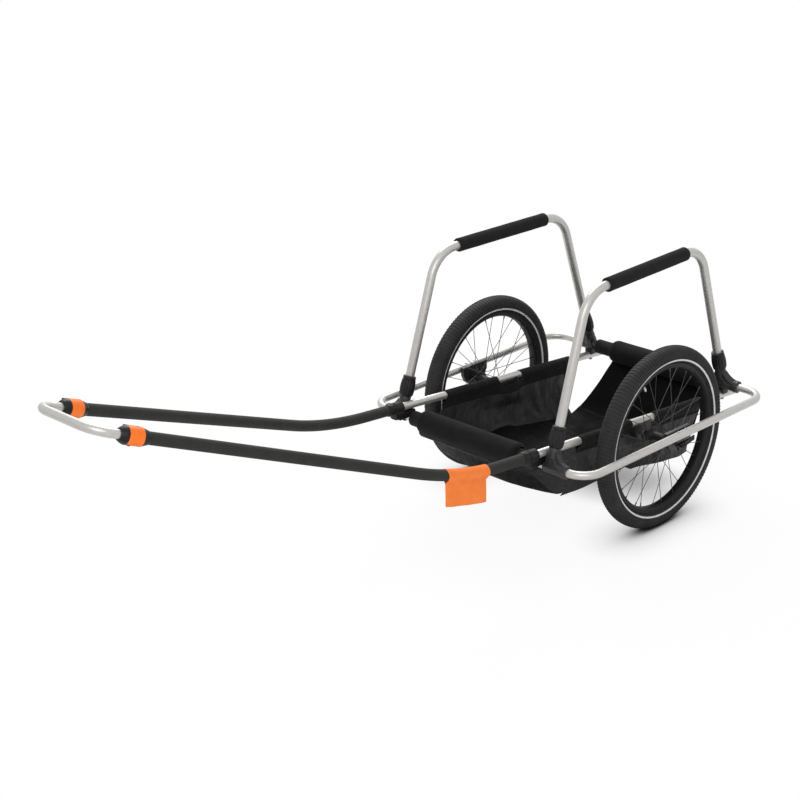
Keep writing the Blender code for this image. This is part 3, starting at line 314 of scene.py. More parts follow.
def ring(place, along, radius, sides):
    """Adds a ring of edges and opens it for editing."""
    alone()
    bpy.ops.mesh.primitive_circle_add(
        vertices=sides, radius=radius, location=place,
        rotation=along.to_track_quat("Z", "Y").to_euler())
    piece = bpy.context.object
    bpy.ops.object.mode_set(mode="EDIT")
    bpy.ops.mesh.select_all(action="SELECT")
    return piece


def closed(piece, merge=False):
    """Fills or merges the open ends and turns every face outwards."""
    if merge:
        edited(piece, bpy.ops.mesh.remove_doubles, threshold=0.000002)
    else:
        edited(piece, bpy.ops.mesh.fill_holes, sides=0)
    return settled(outwards(piece))


def both_ways(half):
    """Returns an outline and, after it, its mirror image in reverse."""
    return half + [(-x, radius) for x, radius in reversed(half)]


def turned(start, along, outline, sides=48, hollow=False):
    """Turns a piece: the outline's distances along the axis and out from it."""
    low, radius = outline[0]
    piece = ring(start + along * low, along, radius, sides)
    for far, wide in outline[1:] + (outline[:1] if hollow else []):
        extrude(along * (far - low))
        if wide != radius:
            bpy.ops.transform.resize(
                value=(wide / radius,) * 3, center_override=start + along * far)
        low, radius = far, wide
    return closed(piece, merge=hollow)


def bent(points, radius, bend=0.0, wall=0.0, sides=36, steps=12):
    """Bends a bar, or with a wall a tube, along the points."""
    place = points[0]
    piece = ring(place, (points[1] - place).normalized(), radius, sides)
    for before, corner, after in zip(points, points[1:], points[2:]):
        inward, outward, side, turn, reach = corner_ways(before, corner, after, bend)
        start = corner - inward * reach
        extrude(start - place)
        bpy.ops.mesh.spin(steps=steps, angle=turn, center=start + side * bend,
                          axis=outward.cross(inward).normalized())
        place = corner + outward * reach
    extrude(points[-1] - place)
    if not wall:
        return closed(piece)
    apply(settled(outwards(piece)), "SOLIDIFY", thickness=wall, offset=-1.0)
    return bevelled(piece, 0.0004, 2, 60)


def slab(origin, u, v, outline, low, high):
    """Cuts a plate to an outline drawn on two directions."""
    alone()
    bpy.ops.mesh.primitive_circle_add(vertices=len(outline), radius=1, fill_type="NGON")
    piece = bpy.context.object
    w = u.cross(v)
    for vertex, (a, b) in zip(piece.data.vertices, outline):
        vertex.co = origin + u * a + v * b + w * low
    edited(piece, extrude, way=w * (high - low))
    return outwards(piece)


def block(low, high):
    """Cuts a block between two corners."""
    outline = [(low[0], low[1]), (high[0], low[1]), (high[0], high[1]), (low[0], high[1])]
    return slab(Vector(), RIGHT, BACK, outline, low[2], high[2])


def melted(voxel, rounds, *pieces):
    """Melts pieces into one casting with soft corners."""
    piece = joined(*pieces)
    apply(piece, "REMESH", mode="VOXEL", voxel_size=voxel)
    return apply(piece, "SMOOTH", factor=0.5, iterations=rounds)


def panel(columns, rows, place):
    """Lays out a sheet whose corners go where place(across, down) puts them."""
    alone()
    bpy.ops.mesh.primitive_grid_add(x_subdivisions=columns, y_subdivisions=rows, size=2)
    piece = bpy.context.object
    for vertex in piece.data.vertices:
        vertex.co = place((vertex.co.x + 1) / 2, (vertex.co.y + 1) / 2)
    return piece


def turned_out(piece, guide):
    """Turns a sheet's faces so that they look away from the guide."""
    total = sum(face.normal.dot(face.center - guide) * face.area
                for face in piece.data.polygons)
    return edited(piece, bpy.ops.mesh.flip_normals) if total < 0 else piece


def twin_of(piece):
    """Copies a piece to the other side as its mirror image."""
    alone(piece)
    bpy.ops.object.duplicate()
    twin = bpy.context.object
    twin.scale.x = -1
    return edited(settled(twin), bpy.ops.mesh.flip_normals)


def dressed(piece, name, body, finish, nodes=(), smooth=38):
    """Moves a finished piece into place and hands it to its body."""
    piece.location += AXLE
    settled(piece)
    bpy.ops.object.shade_smooth_by_angle(angle=math.radians(smooth))
    piece.name = name
    piece.data.name = name
    piece.data.materials.clear()
    piece.data.materials.append(made(finish))
    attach(piece, body)
    if nodes:
        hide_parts(*nodes)
    return piece


def both(piece, name, body, finish, nodes=(), smooth=38):
    """Hands over a left piece and its mirror image; SIDE stands for the side's name."""
    for side, one in (("left", piece), ("right", twin_of(piece))):
        dressed(one, side + "_" + name, body.replace("SIDE", side), finish,
                [cad.replace("SIDE", side) for cad in nodes], smooth)


# Finishes

# Each colour's finish: the slot, the name, the roughness, the gloss and the metal, then
# - its clouds: a grain's scale and detail, the darkest and the lightest tone
# - its polish: a grain's scale and detail, the lowest and the highest roughness
# - its relief: a grain's scale and detail, its depth and strength, and its stretch
FINISHES = {
    "aluminium": ("aluminium_tube", "satin aluminium", 0.42, 0.50, 0.70,
                  (95, 6, 0.95, 1.04), (), ()),
    "plastic": ("black_plastic", "moulded plastic", 0.44, 0.25, 0.0, (60, 4, 0.8, 1.35),
                (90, 5, 0.34, 0.50), (1500, 2, 0.00014, 0.5)),
    "casting": ("black_plastic", "cast plastic", 0.44, 0.42, 0.0, (60, 4, 0.8, 1.35),
                (90, 5, 0.34, 0.50), (1500, 2, 0.00014, 0.5)),
    "foam": ("foam", "soft foam", 0.93, 0.18, 0.0, (45, 5, 0.85, 1.3), (), ()),
    "sleeve": ("sleeve", "pole cover", 0.72, 0.22, 0.0, (34, 5, 0.88, 1.12), (),
               (1300, 2, 0.0002, 0.6, (1, 0.35, 1))),
    "cloth": ("bag_cloth", "hem cloth", 0.82, 0.12, 0.0, (30, 6, 0.8, 1.4), (), ()),
    "lining": ("bag_cloth", "lining cloth", 0.58, 0.26, 0.0, (18, 6, 0.75, 1.4),
               (70, 5, 0.40, 0.60), ()),
    # The trough is the lining's finish with a far darker colour and less gloss: painted shade
    # inside the bag.
    "trough": ("bag_cloth", "trough cloth", 0.58, 0.06, 0.0, (18, 6, 0.75, 1.4),
               (70, 5, 0.40, 0.60), ()),
    "tag": ("orange_cloth", "orange cloth", 0.78, 0.25, 0.0, (60, 5, 0.92, 1.04), (), ()),
    "latch": ("orange_plastic", "orange plastic", 0.42, 0.28, 0.0, (80, 5, 0.92, 1.04),
              (300, 4, 0.36, 0.50), (1600, 2, 0.0001, 0.4)),
    "rubber": ("tyre", "tyre rubber", 0.70, 0.26, 0.0, (28, 6, 0.8, 1.45), (), ()),
    "band": ("tyre", "reflecting band", 0.34, 0.50, 0.0, (90, 5, 0.82, 1.08), (),
             (2200, 2, 0.0001, 0.5)),
    "black_metal": ("black_metal", "black metal", 0.36, 0.22, 0.0, (50, 5, 0.8, 1.5),
                    (240, 5, 0.40, 0.56), ()),
    "steel": ("steel", "bright steel", 0.30, 0.50, 1.0, (90, 5, 0.8, 1.15),
              (600, 3, 0.22, 0.42), ()),
    "wire": ("black_metal", "spoke wire", 0.30, 0.50, 1.0, (90, 5, 0.8, 1.15),
             (600, 3, 0.22, 0.42), ()),
    "nickel": ("brass", "nickel plate", 0.28, 0.50, 1.0, (300, 4, 0.85, 1.1), (),
               (1500, 2, 0.00008, 0.4)),
}


def node(tree, kind, sockets=(), **settings):
    """Adds a node, fills its sockets with values or links and returns its outputs."""
    added = tree.nodes.new("ShaderNode" + kind)
    for key, value in settings.items():
        setattr(added, key, value)
    for key, value in dict(sockets).items():
        if isinstance(value, bpy.types.NodeSocket):
            tree.links.new(value, added.inputs[key])
        else:
            added.inputs[key].default_value = value
    return added.outputs


def grain(tree, place, scale, detail, stretch=None):
    """Returns cloudy noise on the piece, stretched along its axes if asked."""
    if stretch:
        place = node(tree, "Mapping", {"Vector": place, "Scale": stretch})[0]
    return node(tree, "TexNoise", {"Vector": place, "Scale": scale, "Detail": detail})[0]


def reckon(tree, operation, *values):
    """Returns the result of a sum on one or two values."""
    return node(tree, "Math", enumerate(values), operation=operation)[0]


def spread(tree, value, low, high, start=0.3, end=0.7):
    """Returns a value brought between two limits."""
    return node(tree, "MapRange", enumerate((value, start, end, low, high)))[0]


def blended(tree, value, first, second):
    """Returns a colour between two colours."""
    return node(tree, "Mix", {0: value, 6: first, 7: second}, data_type="RGBA")[2]


def tone(colour, factor):
    """Returns a darker or a lighter tone of a colour."""
    return (*(min(1.0, channel * factor) for channel in colour), 1)


def raised(tree, main, height, distance, strength=1.0):
    """Adds relief to the surface."""
    sockets = {"Height": height, "Distance": distance, "Strength": strength}
    if main.inputs["Normal"].links:
        sockets["Normal"] = main.inputs["Normal"].links[0].from_socket
    tree.links.new(node(tree, "Bump", sockets)[0], main.inputs["Normal"])


def weave(tree, width, pitch):
    """Returns the relief of a plain weave on the sheet's own map."""
    parts = node(tree, "SeparateXYZ", {0: node(tree, "UVMap")[0]})
    waves = [reckon(tree, "SINE", reckon(tree, "MULTIPLY", parts[index],
                                         2 * math.pi * width[index] / pitch))
             for index in (0, 1)]
    return reckon(tree, "MULTIPLY", *waves)


def drawn_tube(tree, main, place):
    """Adds the fine drawn grain and the small marks of bare tubes."""
    fine = grain(tree, place, 700, 2)
    marks = grain(tree, place, 120, 6)
    worn = reckon(tree, "MULTIPLY", reckon(tree, "ADD", fine, marks), 0.5)
    tree.links.new(spread(tree, worn, 0.32, 0.44), main.inputs["Roughness"])
    raised(tree, main, fine, 0.00012, 0.20)


def foam_pores(tree, main, place):
    """Adds the fine pores of closed-cell foam."""
    pores = node(tree, "TexVoronoi", {"Vector": place, "Scale": 1100})["Distance"]
    raised(tree, main, pores, 0.0003, 0.6)


def roll_weave(tree, main, place):
    """Adds the nap, the weave and the small folds of the rolls."""
    main.inputs["Sheen Weight"].default_value = 0.015
    main.inputs["Sheen Roughness"].default_value = 0.5
    raised(tree, main, weave(tree, (0.6, 0.6), 0.0016), 0.00016, 0.6)
    raised(tree, main, grain(tree, place, 55, 4), 0.0012, 0.35)


def strip_creases(tree, main, place, width=(0.42, 1.0), folded=0.12):
    """Adds the creases and the weave of coated cloth, here of the long strip."""
    folds = grain(tree, place, 13, 2, (1, 1.4, 0.8))
    ridge = reckon(tree, "ABSOLUTE", reckon(tree, "SUBTRACT", folds, 0.5))
    raised(tree, main, ridge, 0.030, folded)
    raised(tree, main, weave(tree, width, 0.0013), 0.00012, 0.6)
    raised(tree, main, grain(tree, place, 24, 3), 0.004, 0.28)


def panel_hem(tree, main, place):
    """Adds the side panels' creases and the darker hem, sewn on below the rail."""
    strip_creases(tree, main, place, (0.8, 0.4), 0.7)
    parts = node(tree, "SeparateXYZ", {0: place})
    slope = reckon(tree, "MULTIPLY", reckon(tree, "SUBTRACT", parts[1], AXLE.y), RAIL_SLOPE)
    height = reckon(tree, "ADD", slope,
                    reckon(tree, "SUBTRACT", parts[2], rail_point(0).z + AXLE.z))
    hem = spread(tree, height, 0.0, 1.0, -0.0368, -0.0360)
    cloth, rough = main.inputs["Base Color"], main.inputs["Roughness"]
    tree.links.new(blended(tree, hem, cloth.links[0].from_socket, (*colours().cloth, 1)),
                   cloth)
    tree.links.new(reckon(tree, "MAXIMUM", rough.links[0].from_socket,
                          reckon(tree, "MULTIPLY", hem, 0.92)), rough)
    raised(tree, main, hem, 0.0010, 1.0)
    for row in (-0.0335, -0.0285):
        off = reckon(tree, "ABSOLUTE", reckon(tree, "SUBTRACT", height, row))
        line = spread(tree, off, 1.0, 0.0, 0.0003, 0.0007)
        step = reckon(tree, "SINE", reckon(tree, "MULTIPLY", parts[1], 1900.0))
        thread = reckon(tree, "MULTIPLY", line, spread(tree, step, 0.0, 1.0, -0.4, 0.2))
        raised(tree, main, thread, 0.0005, 0.8)


def tag_weave(tree, main, _):
    """Adds the weave of the tag."""
    raised(tree, main, weave(tree, (0.155, 0.18), 0.0011), 0.00014, 0.6)


def tyre_ribs(tree, main, place):
    """Adds fine ribs low on the sidewall and a fine grain."""
    parts = node(tree, "SeparateXYZ", {0: place})
    over = reckon(tree, "SUBTRACT", parts[1], AXLE.y)
    lift = reckon(tree, "SUBTRACT", parts[2], AXLE.z)
    turn = reckon(tree, "ARCTAN2", lift, over)
    far = reckon(tree, "SQRT", reckon(tree, "ADD", reckon(tree, "MULTIPLY", over, over),
                                      reckon(tree, "MULTIPLY", lift, lift)))
    ribs = reckon(tree, "SINE", reckon(tree, "MULTIPLY", turn, 480))
    low_band = spread(tree, far, 1.0, 0.0, 0.2155, 0.2165)
    raised(tree, main, reckon(tree, "MULTIPLY", ribs, low_band), 0.0003, 0.7)
    raised(tree, main, grain(tree, place, 900, 3), 0.0002, 0.5)


RELIEFS = {"aluminium": drawn_tube, "foam": foam_pores, "cloth": roll_weave,
           "lining": panel_hem, "trough": strip_creases, "tag": tag_weave,
           "rubber": tyre_ribs}
SHELF = {}


def made(key):
    """Returns a colour's finish, made the first time that it is asked for."""
    if key in SHELF:
        return SHELF[key]
    _, name, roughness, gloss, metallic, clouds, polish, relief = FINISHES[key]
    colour = getattr(colours(), key)
    found = bpy.data.materials.get(name)
    if found:
        bpy.data.materials.remove(found)
    finish = bpy.data.materials.new(name)
    finish.use_nodes = True
    finish.diffuse_color = (*colour, 1)
    tree = finish.node_tree
    main = tree.nodes["Principled BSDF"]
    for socket, value in (("Base Color", (*colour, 1)), ("Roughness", roughness),
                          ("Metallic", metallic), ("Specular IOR Level", gloss)):
        main.inputs[socket].default_value = value
    place = node(tree, "TexCoord")["Object"]
    scale, detail, dark, light = clouds
    cloud = spread(tree, grain(tree, place, scale, detail), 0.0, 1.0)
    tree.links.new(blended(tree, cloud, tone(colour, dark), tone(colour, light)),
                   main.inputs["Base Color"])
    if polish:
        scale, detail, low, high = polish
        rough = spread(tree, grain(tree, place, scale, detail), low, high)
        tree.links.new(rough, main.inputs["Roughness"])
    if relief:
        scale, detail, depth, strength, *stretch = relief
        raised(tree, main, grain(tree, place, scale, detail, *stretch), depth, strength)
    if key in RELIEFS:
        RELIEFS[key](tree, main, place)
    SHELF[key] = finish
    return finish


# Tubes

class TrailerTubes(bpy.types.Operator):
    """Bends the crossbars, rails, wheel guards, hoops and the handle"""

    bl_idname = "trailer.tubes"
    bl_label = "Aluminium tubes"
    bl_options = {"REGISTER", "UNDO"}

    def execute(self, context):
        size = sizes()
        wall = size.tube_wall
        for name, y, foot in (("front", FRONT_BAR_Y, HOOP_FRONT_X),
                              ("rear", REAR_BAR_Y, HOOP_REAR_X)):
            half = foot + BAR_IN_SOCKET
            bar = bent([Vector((-half, y, FRAME_HEIGHT)), Vector((half, y, FRAME_HEIGHT))],
                       size.tube, wall=wall)
            dressed(bar, name + "_cross_tube", "frame", "aluminium", [name + "_crossbar"])

        rail = bent([rail_point(RAIL_FRONT_Y), rail_point(RAIL_REAR_Y)], size.tube, wall=wall)
        both(rail, "rail_tube", "frame", "aluminium", ["SIDE_rail"])

        reach = GUARD_IN_SOCKET
        guard = bent([
            Vector((HOOP_FRONT_X + reach, FRONT_BAR_Y, FRAME_HEIGHT)),
            Vector((GUARD_X, FRONT_BAR_Y, FRAME_HEIGHT)),
            Vector((GUARD_X, REAR_BAR_Y, FRAME_HEIGHT)),
            Vector((HOOP_REAR_X + reach, REAR_BAR_Y, FRAME_HEIGHT)),
        ], size.tube, size.guard_bend, wall)
        both(guard, "guard_tube", "frame", "aluminium", ["SIDE_side_loop"])

        screws = []
        for y in (-0.016, 0.016):
            top = Vector((GUARD_X, y, FRAME_HEIGHT + size.tube - 0.0006))
            screws.append(turned(top, UP, [(0, 0.0036), (0.0012, 0.0036), (0.0024, 0.0026),
                                           (0.0029, 0.0012)], 20))
        both(joined(*screws), "guard_screws", "frame", "steel")

        front = FRONT_FOOT + (FRONT_TOP - FRONT_FOOT).normalized() * HOOP_IN_SOCKET
        rear = REAR_FOOT + (REAR_TOP - REAR_FOOT).normalized() * HOOP_IN_SOCKET
        hoop = bent([front, FRONT_TOP, REAR_TOP, rear], size.hoop, size.hoop_bend, wall,
                    steps=16)
        both(hoop, "hoop_tube", "frame", "aluminium", ["SIDE_hoop"])

        corner = POLE_CORNER + POLE_FORWARD * (
            (HANDLE_Y - POLE_CORNER.y) / POLE_FORWARD.y)
        end = CLAMP_MIDDLE - POLE_FORWARD * HANDLE_INSIDE
        handle = bent([end, corner, mirrored(corner), mirrored(end)], size.tube,
                      HANDLE_BEND, wall, steps=16)
        dressed(handle, "handle_tube", "handle", "aluminium", ["handle"])
        return {"FINISHED"}


class TrailerFoam(bpy.types.Operator):
    """Slides the foam tubes on to the crossbars and the hoops"""

    bl_idname = "trailer.foam"
    bl_label = "Foam tubes and grips"
    bl_options = {"REGISTER", "UNDO"}

    def execute(self, context):
        size = sizes()
        wide = size.foam
        for name, y, half in (("front", FRONT_BAR_Y, FRONT_FOAM_HALF),
                              ("rear", REAR_BAR_Y, REAR_FOAM_HALF)):
            outline = both_ways([(-half, size.tube + GAP), (-half, wide - 0.003),
                                 (-half + 0.0009, wide - 0.0009), (-half + 0.003, wide)])
            piece = turned(Vector((0, y, FRAME_HEIGHT)), RIGHT, outline, 40, hollow=True)
            dressed(piece, name + "_foam_tube", "frame", "foam", [name + "_foam"])
        along = (REAR_TOP - FRONT_TOP).normalized()
        start = FRONT_TOP + along * ((GRIP_FRONT_Y - FRONT_TOP.y) / along.y)
        far = (GRIP_REAR_Y - GRIP_FRONT_Y) / along.y
        hole = size.hoop + GAP
        wide = size.grip
        steps = 24
        outline = [(0, hole), (0, wide - 0.0030), (0.0009, wide - 0.0009), (0.0032, wide)]
        for step in range(1, steps):
            part = step / steps
            dent = 0.00035 * noise.noise(Vector((part * 9, 3.3, 1.7)))
            outline.append((0.0032 + (far - 0.0064) * part, wide + dent - 0.0002))
        outline += [(far - 0.0032, wide), (far - 0.0009, wide - 0.0009),
                    (far, wide - 0.0030), (far, hole)]
        grip = turned(start, along, outline, 44, hollow=True)
        both(grip, "hoop_grip", "frame", "foam", ["SIDE_grip"])
        return {"FINISHED"}


# Castings and nuts of the frame

def fluted(piece, start, along, count, depth, low, high):
    """Presses lengthwise flutes into a turned piece between two distances."""
    side = along.orthogonal().normalized()
    other = along.cross(side)
    for vertex in piece.data.vertices:
        arm = vertex.co - start
        far = arm.dot(along)
        out = arm - along * far
        if low <= far <= high and out.length > 0.015:
            angle = math.atan2(out.dot(other), out.dot(side))
            dip = max(0.0, math.cos(angle * count)) ** 0.7
            vertex.co -= out.normalized() * depth * dip
    return piece


class TrailerCastings(bpy.types.Operator):
    """Casts the four corners and turns the nuts that clamp the hoops"""

    bl_idname = "trailer.castings"
    bl_label = "Corner castings and hoop nuts"
    bl_options = {"REGISTER", "UNDO"}

    def execute(self, context):
        size = sizes()
        for name, foot, top in (("front", FRONT_FOOT, FRONT_TOP),
                                ("rear", REAR_FOOT, REAR_TOP)):
            leg = (top - foot).normalized()
            flat = (RIGHT - leg * RIGHT.dot(leg)).normalized()
            start = foot - RIGHT * 0.0195
            body = turned(start, RIGHT, [
                (0, 0.0135), (0.002, 0.0155), (0.030, 0.0160), (0.062, 0.0160),
                (0.0625, 0.0145)], 40)
            neck = turned(foot, leg, [
                (0, 0.0150), (0.030, 0.0148), (0.0390, 0.0147), (0.0395, 0.0130)], 40)
            web = slab(foot, flat, leg, [
                (-0.0145, -0.004), (0.052, -0.008), (0.052, 0.0125), (0.043, 0.0150),
                (0.033, 0.0200), (0.0245, 0.0275), (0.0185, 0.036), (0.0150, 0.041),
                (-0.0145, 0.041)], -0.0100, 0.0100)
            skirt = slab(foot, flat, leg, [
                (-0.0140, -0.002), (0.030, -0.002), (0.020, 0.012), (0.0125, 0.024),
                (-0.0125, 0.024)], -0.0138, 0.0138)
            casting = melted(0.0009, 6, body, neck, web, skirt)
            ring_start = foot + RIGHT * 0.0425
            socket = turned(ring_start, RIGHT, [
                (0, 0.0150), (0.0006, 0.0170), (0.0040, 0.0174), (0.0055, 0.0168),
                (0.0065, 0.0172), (0.0115, 0.0172), (0.0130, 0.0158), (0.0130, 0.0112)],
                48)
            collar = turned(foot + leg * 0.0365, leg, [
                (0, 0.0140), (0.0010, 0.0156), (0.0130, 0.0158), (0.0146, 0.0150),
                (0.0146, 0.0120)], 48)
            casting = joined(casting, socket, collar)
            both(casting, name + "_corner_casting", "frame", "casting",
                 ["SIDE_" + name + "_corner"])

            base = foot + leg * (NECK_HEIGHT + GAP)
            hole = size.hoop + GAP
            wide = 0.0205
            nut = turned(base, leg, [
                (0, hole), (0, wide - 0.0045), (0.0012, wide - 0.0032),
                (0.0030, wide - 0.0026), (0.0050, wide - 0.0012), (0.0120, wide - 0.0004),
                (0.0200, wide), (0.0280, wide - 0.0001), (0.0360, wide - 0.0007),
                (0.0430, wide - 0.0016), (0.0462, wide - 0.0022), (0.0470, wide - 0.0034),
                (0.0486, wide - 0.0034), (0.0494, wide - 0.0024), (0.0535, wide - 0.0026),
                (0.0552, wide - 0.0036), (0.0560, wide - 0.0050), (0.0560, hole)],
                112, hollow=True)
            fluted(nut, base, leg, 14, 0.0013, 0.0045, 0.0450)
            both(nut, name + "_clamp_nut", "SIDE_" + name + "_hoop_nut", "plastic",
                 ["SIDE_" + name + "_hoop_nut"])
        return {"FINISHED"}


class TrailerTees(bpy.types.Operator):
    """Casts the front tees, their ring nuts and the rear saddles with bolts"""

    bl_idname = "trailer.tees"
    bl_label = "Tees and saddles"
    bl_options = {"REGISTER", "UNDO"}

    def execute(self, context):
        size = sizes()
        rear = rail_point(TEE_REAR_Y)
        far = (TEE_REAR_Y - TEE_FRONT_Y) / -RAIL_FORWARD.y
        barrel = turned(rear, RAIL_FORWARD, [
            (0, 0.0150), (0.001, 0.0166), (0.003, 0.0170), (far - 0.002, 0.0170),
            (far, 0.0160)], 40)
        low = 0.0375
        lug = slab(Vector((RAIL_X, 0, 0)), RIGHT, UP, [
            (-0.0110, low), (-0.006, low - 0.0012), (0.006, low - 0.0012), (0.0110, low),
            (0.0132, low + 0.002), (0.0115, low + 0.010), (0.0110, rear.z),
            (-0.0110, rear.z), (-0.0115, low + 0.010), (-0.0132, low + 0.002)],
            0.4365, 0.4585)
        saddle_high = rail_point(FRONT_BAR_Y).z - size.tube - 0.0008
        saddle = block((RAIL_X - 0.0125, -0.446, FRAME_HEIGHT + 0.004),
                       (RAIL_X + 0.0072, FRONT_BAR_Y + 0.0140, saddle_high))
        tee = melted(0.0008, 5, barrel, lug, saddle)
        ribs = []
        for start, wide in ((0.0002, 0.0176), (0.0100, 0.0174), (0.0190, 0.0174),
                            (far - 0.0045, 0.0178)):
            ribs.append(turned(rear + RAIL_FORWARD * start, RAIL_FORWARD, [
                (0, 0.0150), (0.0002, wide - 0.0006), (0.0009, wide), (0.0034, wide),
                (0.0041, wide - 0.0006), (0.0043, 0.0150)], 48))
        tee = joined(tee, *ribs)
        both(tee, "tee_casting", "frame", "plastic", ["SIDE_tee"])

        start = rail_point(TEE_FRONT_Y - GAP)
        hole = size.sleeve - 0.0001
        wide = 0.0180
        nut = turned(start, RAIL_FORWARD, [
            (0, hole), (0, wide - 0.0016), (0.0010, wide - 0.0006), (0.0024, wide),
            (0.0060, wide), (0.0100, wide - 0.0001), (0.0140, wide - 0.0002),
            (0.0160, wide - 0.0006), (0.0185, wide - 0.0012), (0.0205, wide - 0.0024),
            (0.0205, hole)], 96, hollow=True)
        fluted(nut, start, RAIL_FORWARD, 12, 0.0009, 0.0030, 0.0150)
        both(nut, "pole_ring_nut", "SIDE_pole_lock_nut", "plastic", ["SIDE_pole_lock_nut"])

        middle = rail_point(REAR_BAR_Y)
        saddle = block((RAIL_X - 0.011, REAR_BAR_Y - 0.013, middle.z + 0.0030),
                       (RAIL_X + 0.011, REAR_BAR_Y + 0.013, FRAME_HEIGHT - 0.0075))
        bevelled(saddle, 0.0015, 3)
        both(saddle, "rear_saddle_block", "frame", "plastic", ["SIDE_rear_saddle"])
        start = Vector((RAIL_X, REAR_BAR_Y, middle.z - size.tube))
        bolt = turned(start, UP, [
            (-0.0046, 0.0020), (-0.0045, 0.0042), (-0.0038, 0.0055), (-0.0010, 0.0058),
            (-0.0005, 0.0030), (0.0300, 0.0030)], 24)
        both(bolt, "saddle_screw", "frame", "steel", ["SIDE_saddle_bolt"])
        return {"FINISHED"}


# Drawbar

class TrailerPoles(bpy.types.Operator):
    """Bends the two poles and pulls their covers on"""

    bl_idname = "trailer.poles"
    bl_label = "Poles and covers"
    bl_options = {"REGISTER", "UNDO"}

    def execute(self, context):
        size = sizes()
        rear = rail_point(TEE_REAR_Y - 0.0140)
        front = CLAMP_MIDDLE + POLE_FORWARD * 0.005
        pole = bent([rear, POLE_CORNER, front], 0.0136, POLE_BEND, 0.0010, steps=24)
        both(pole, "pole_tube", "SIDE_drawbar", "aluminium", ["SIDE_pole"])
        rear = rail_point(TEE_FRONT_Y - 2 * GAP - 0.0205)
        for side, name in SIDES:
            reach = CLAMP_SLIDES[side] - CLAMP_LENGTH / 2 - GAP
            points = [rear, POLE_CORNER, CLAMP_MIDDLE + POLE_FORWARD * reach]
            if side < 0:
                points = [mirrored(place) for place in points]
            cover = bent(points, size.sleeve, POLE_BEND, size.sleeve - 0.0139, steps=28)
            dressed(cover, name + "_pole_cover", name + "_drawbar", "sleeve",
                    [name + "_pole_sleeve"])
        return {"FINISHED"}


def clamp_frame(side):
    """Returns a clamp's front end, its way back, its level way and its way up."""
    middle, forward = CLAMP_MIDDLE, POLE_FORWARD
    if side < 0:
        middle, forward = mirrored(middle), mirrored(forward)
    back = -forward
    lift = (UP + back * UP.dot(-back)).normalized()
    level = (RIGHT - back * RIGHT.dot(back)).normalized()
    level = (level - lift * level.dot(lift)).normalized()
    return middle + forward * (CLAMP_LENGTH / 2 + CLAMP_SLIDES[side]), back, level, lift


def clamp_point(side, distance, radius, angle):
    """Returns a place on a clamp; angles run from the level up over the top."""
    start, back, level, lift = clamp_frame(side)
    turn = math.radians(angle)
    return start + back * distance + (level * math.cos(turn) + lift * math.sin(turn)) * radius


def curved_plate(side, span, radii, angles, steps):
    """Cuts a curved plate round a clamp's axis."""
    start, back, level, lift = clamp_frame(side)
    outline = []
    for radius, way in ((radii[1], 1), (radii[0], -1)):
        for step in range(steps + 1)[::way]:
            turn = math.radians(angles[0] + (angles[1] - angles[0]) * step / steps)
            outline.append((radius * math.cos(turn), radius * math.sin(turn)))
    flip = level.cross(lift).dot(back)
    low, high = span if flip > 0 else (-span[1], -span[0])
    return slab(start, level, lift, outline, low, high)


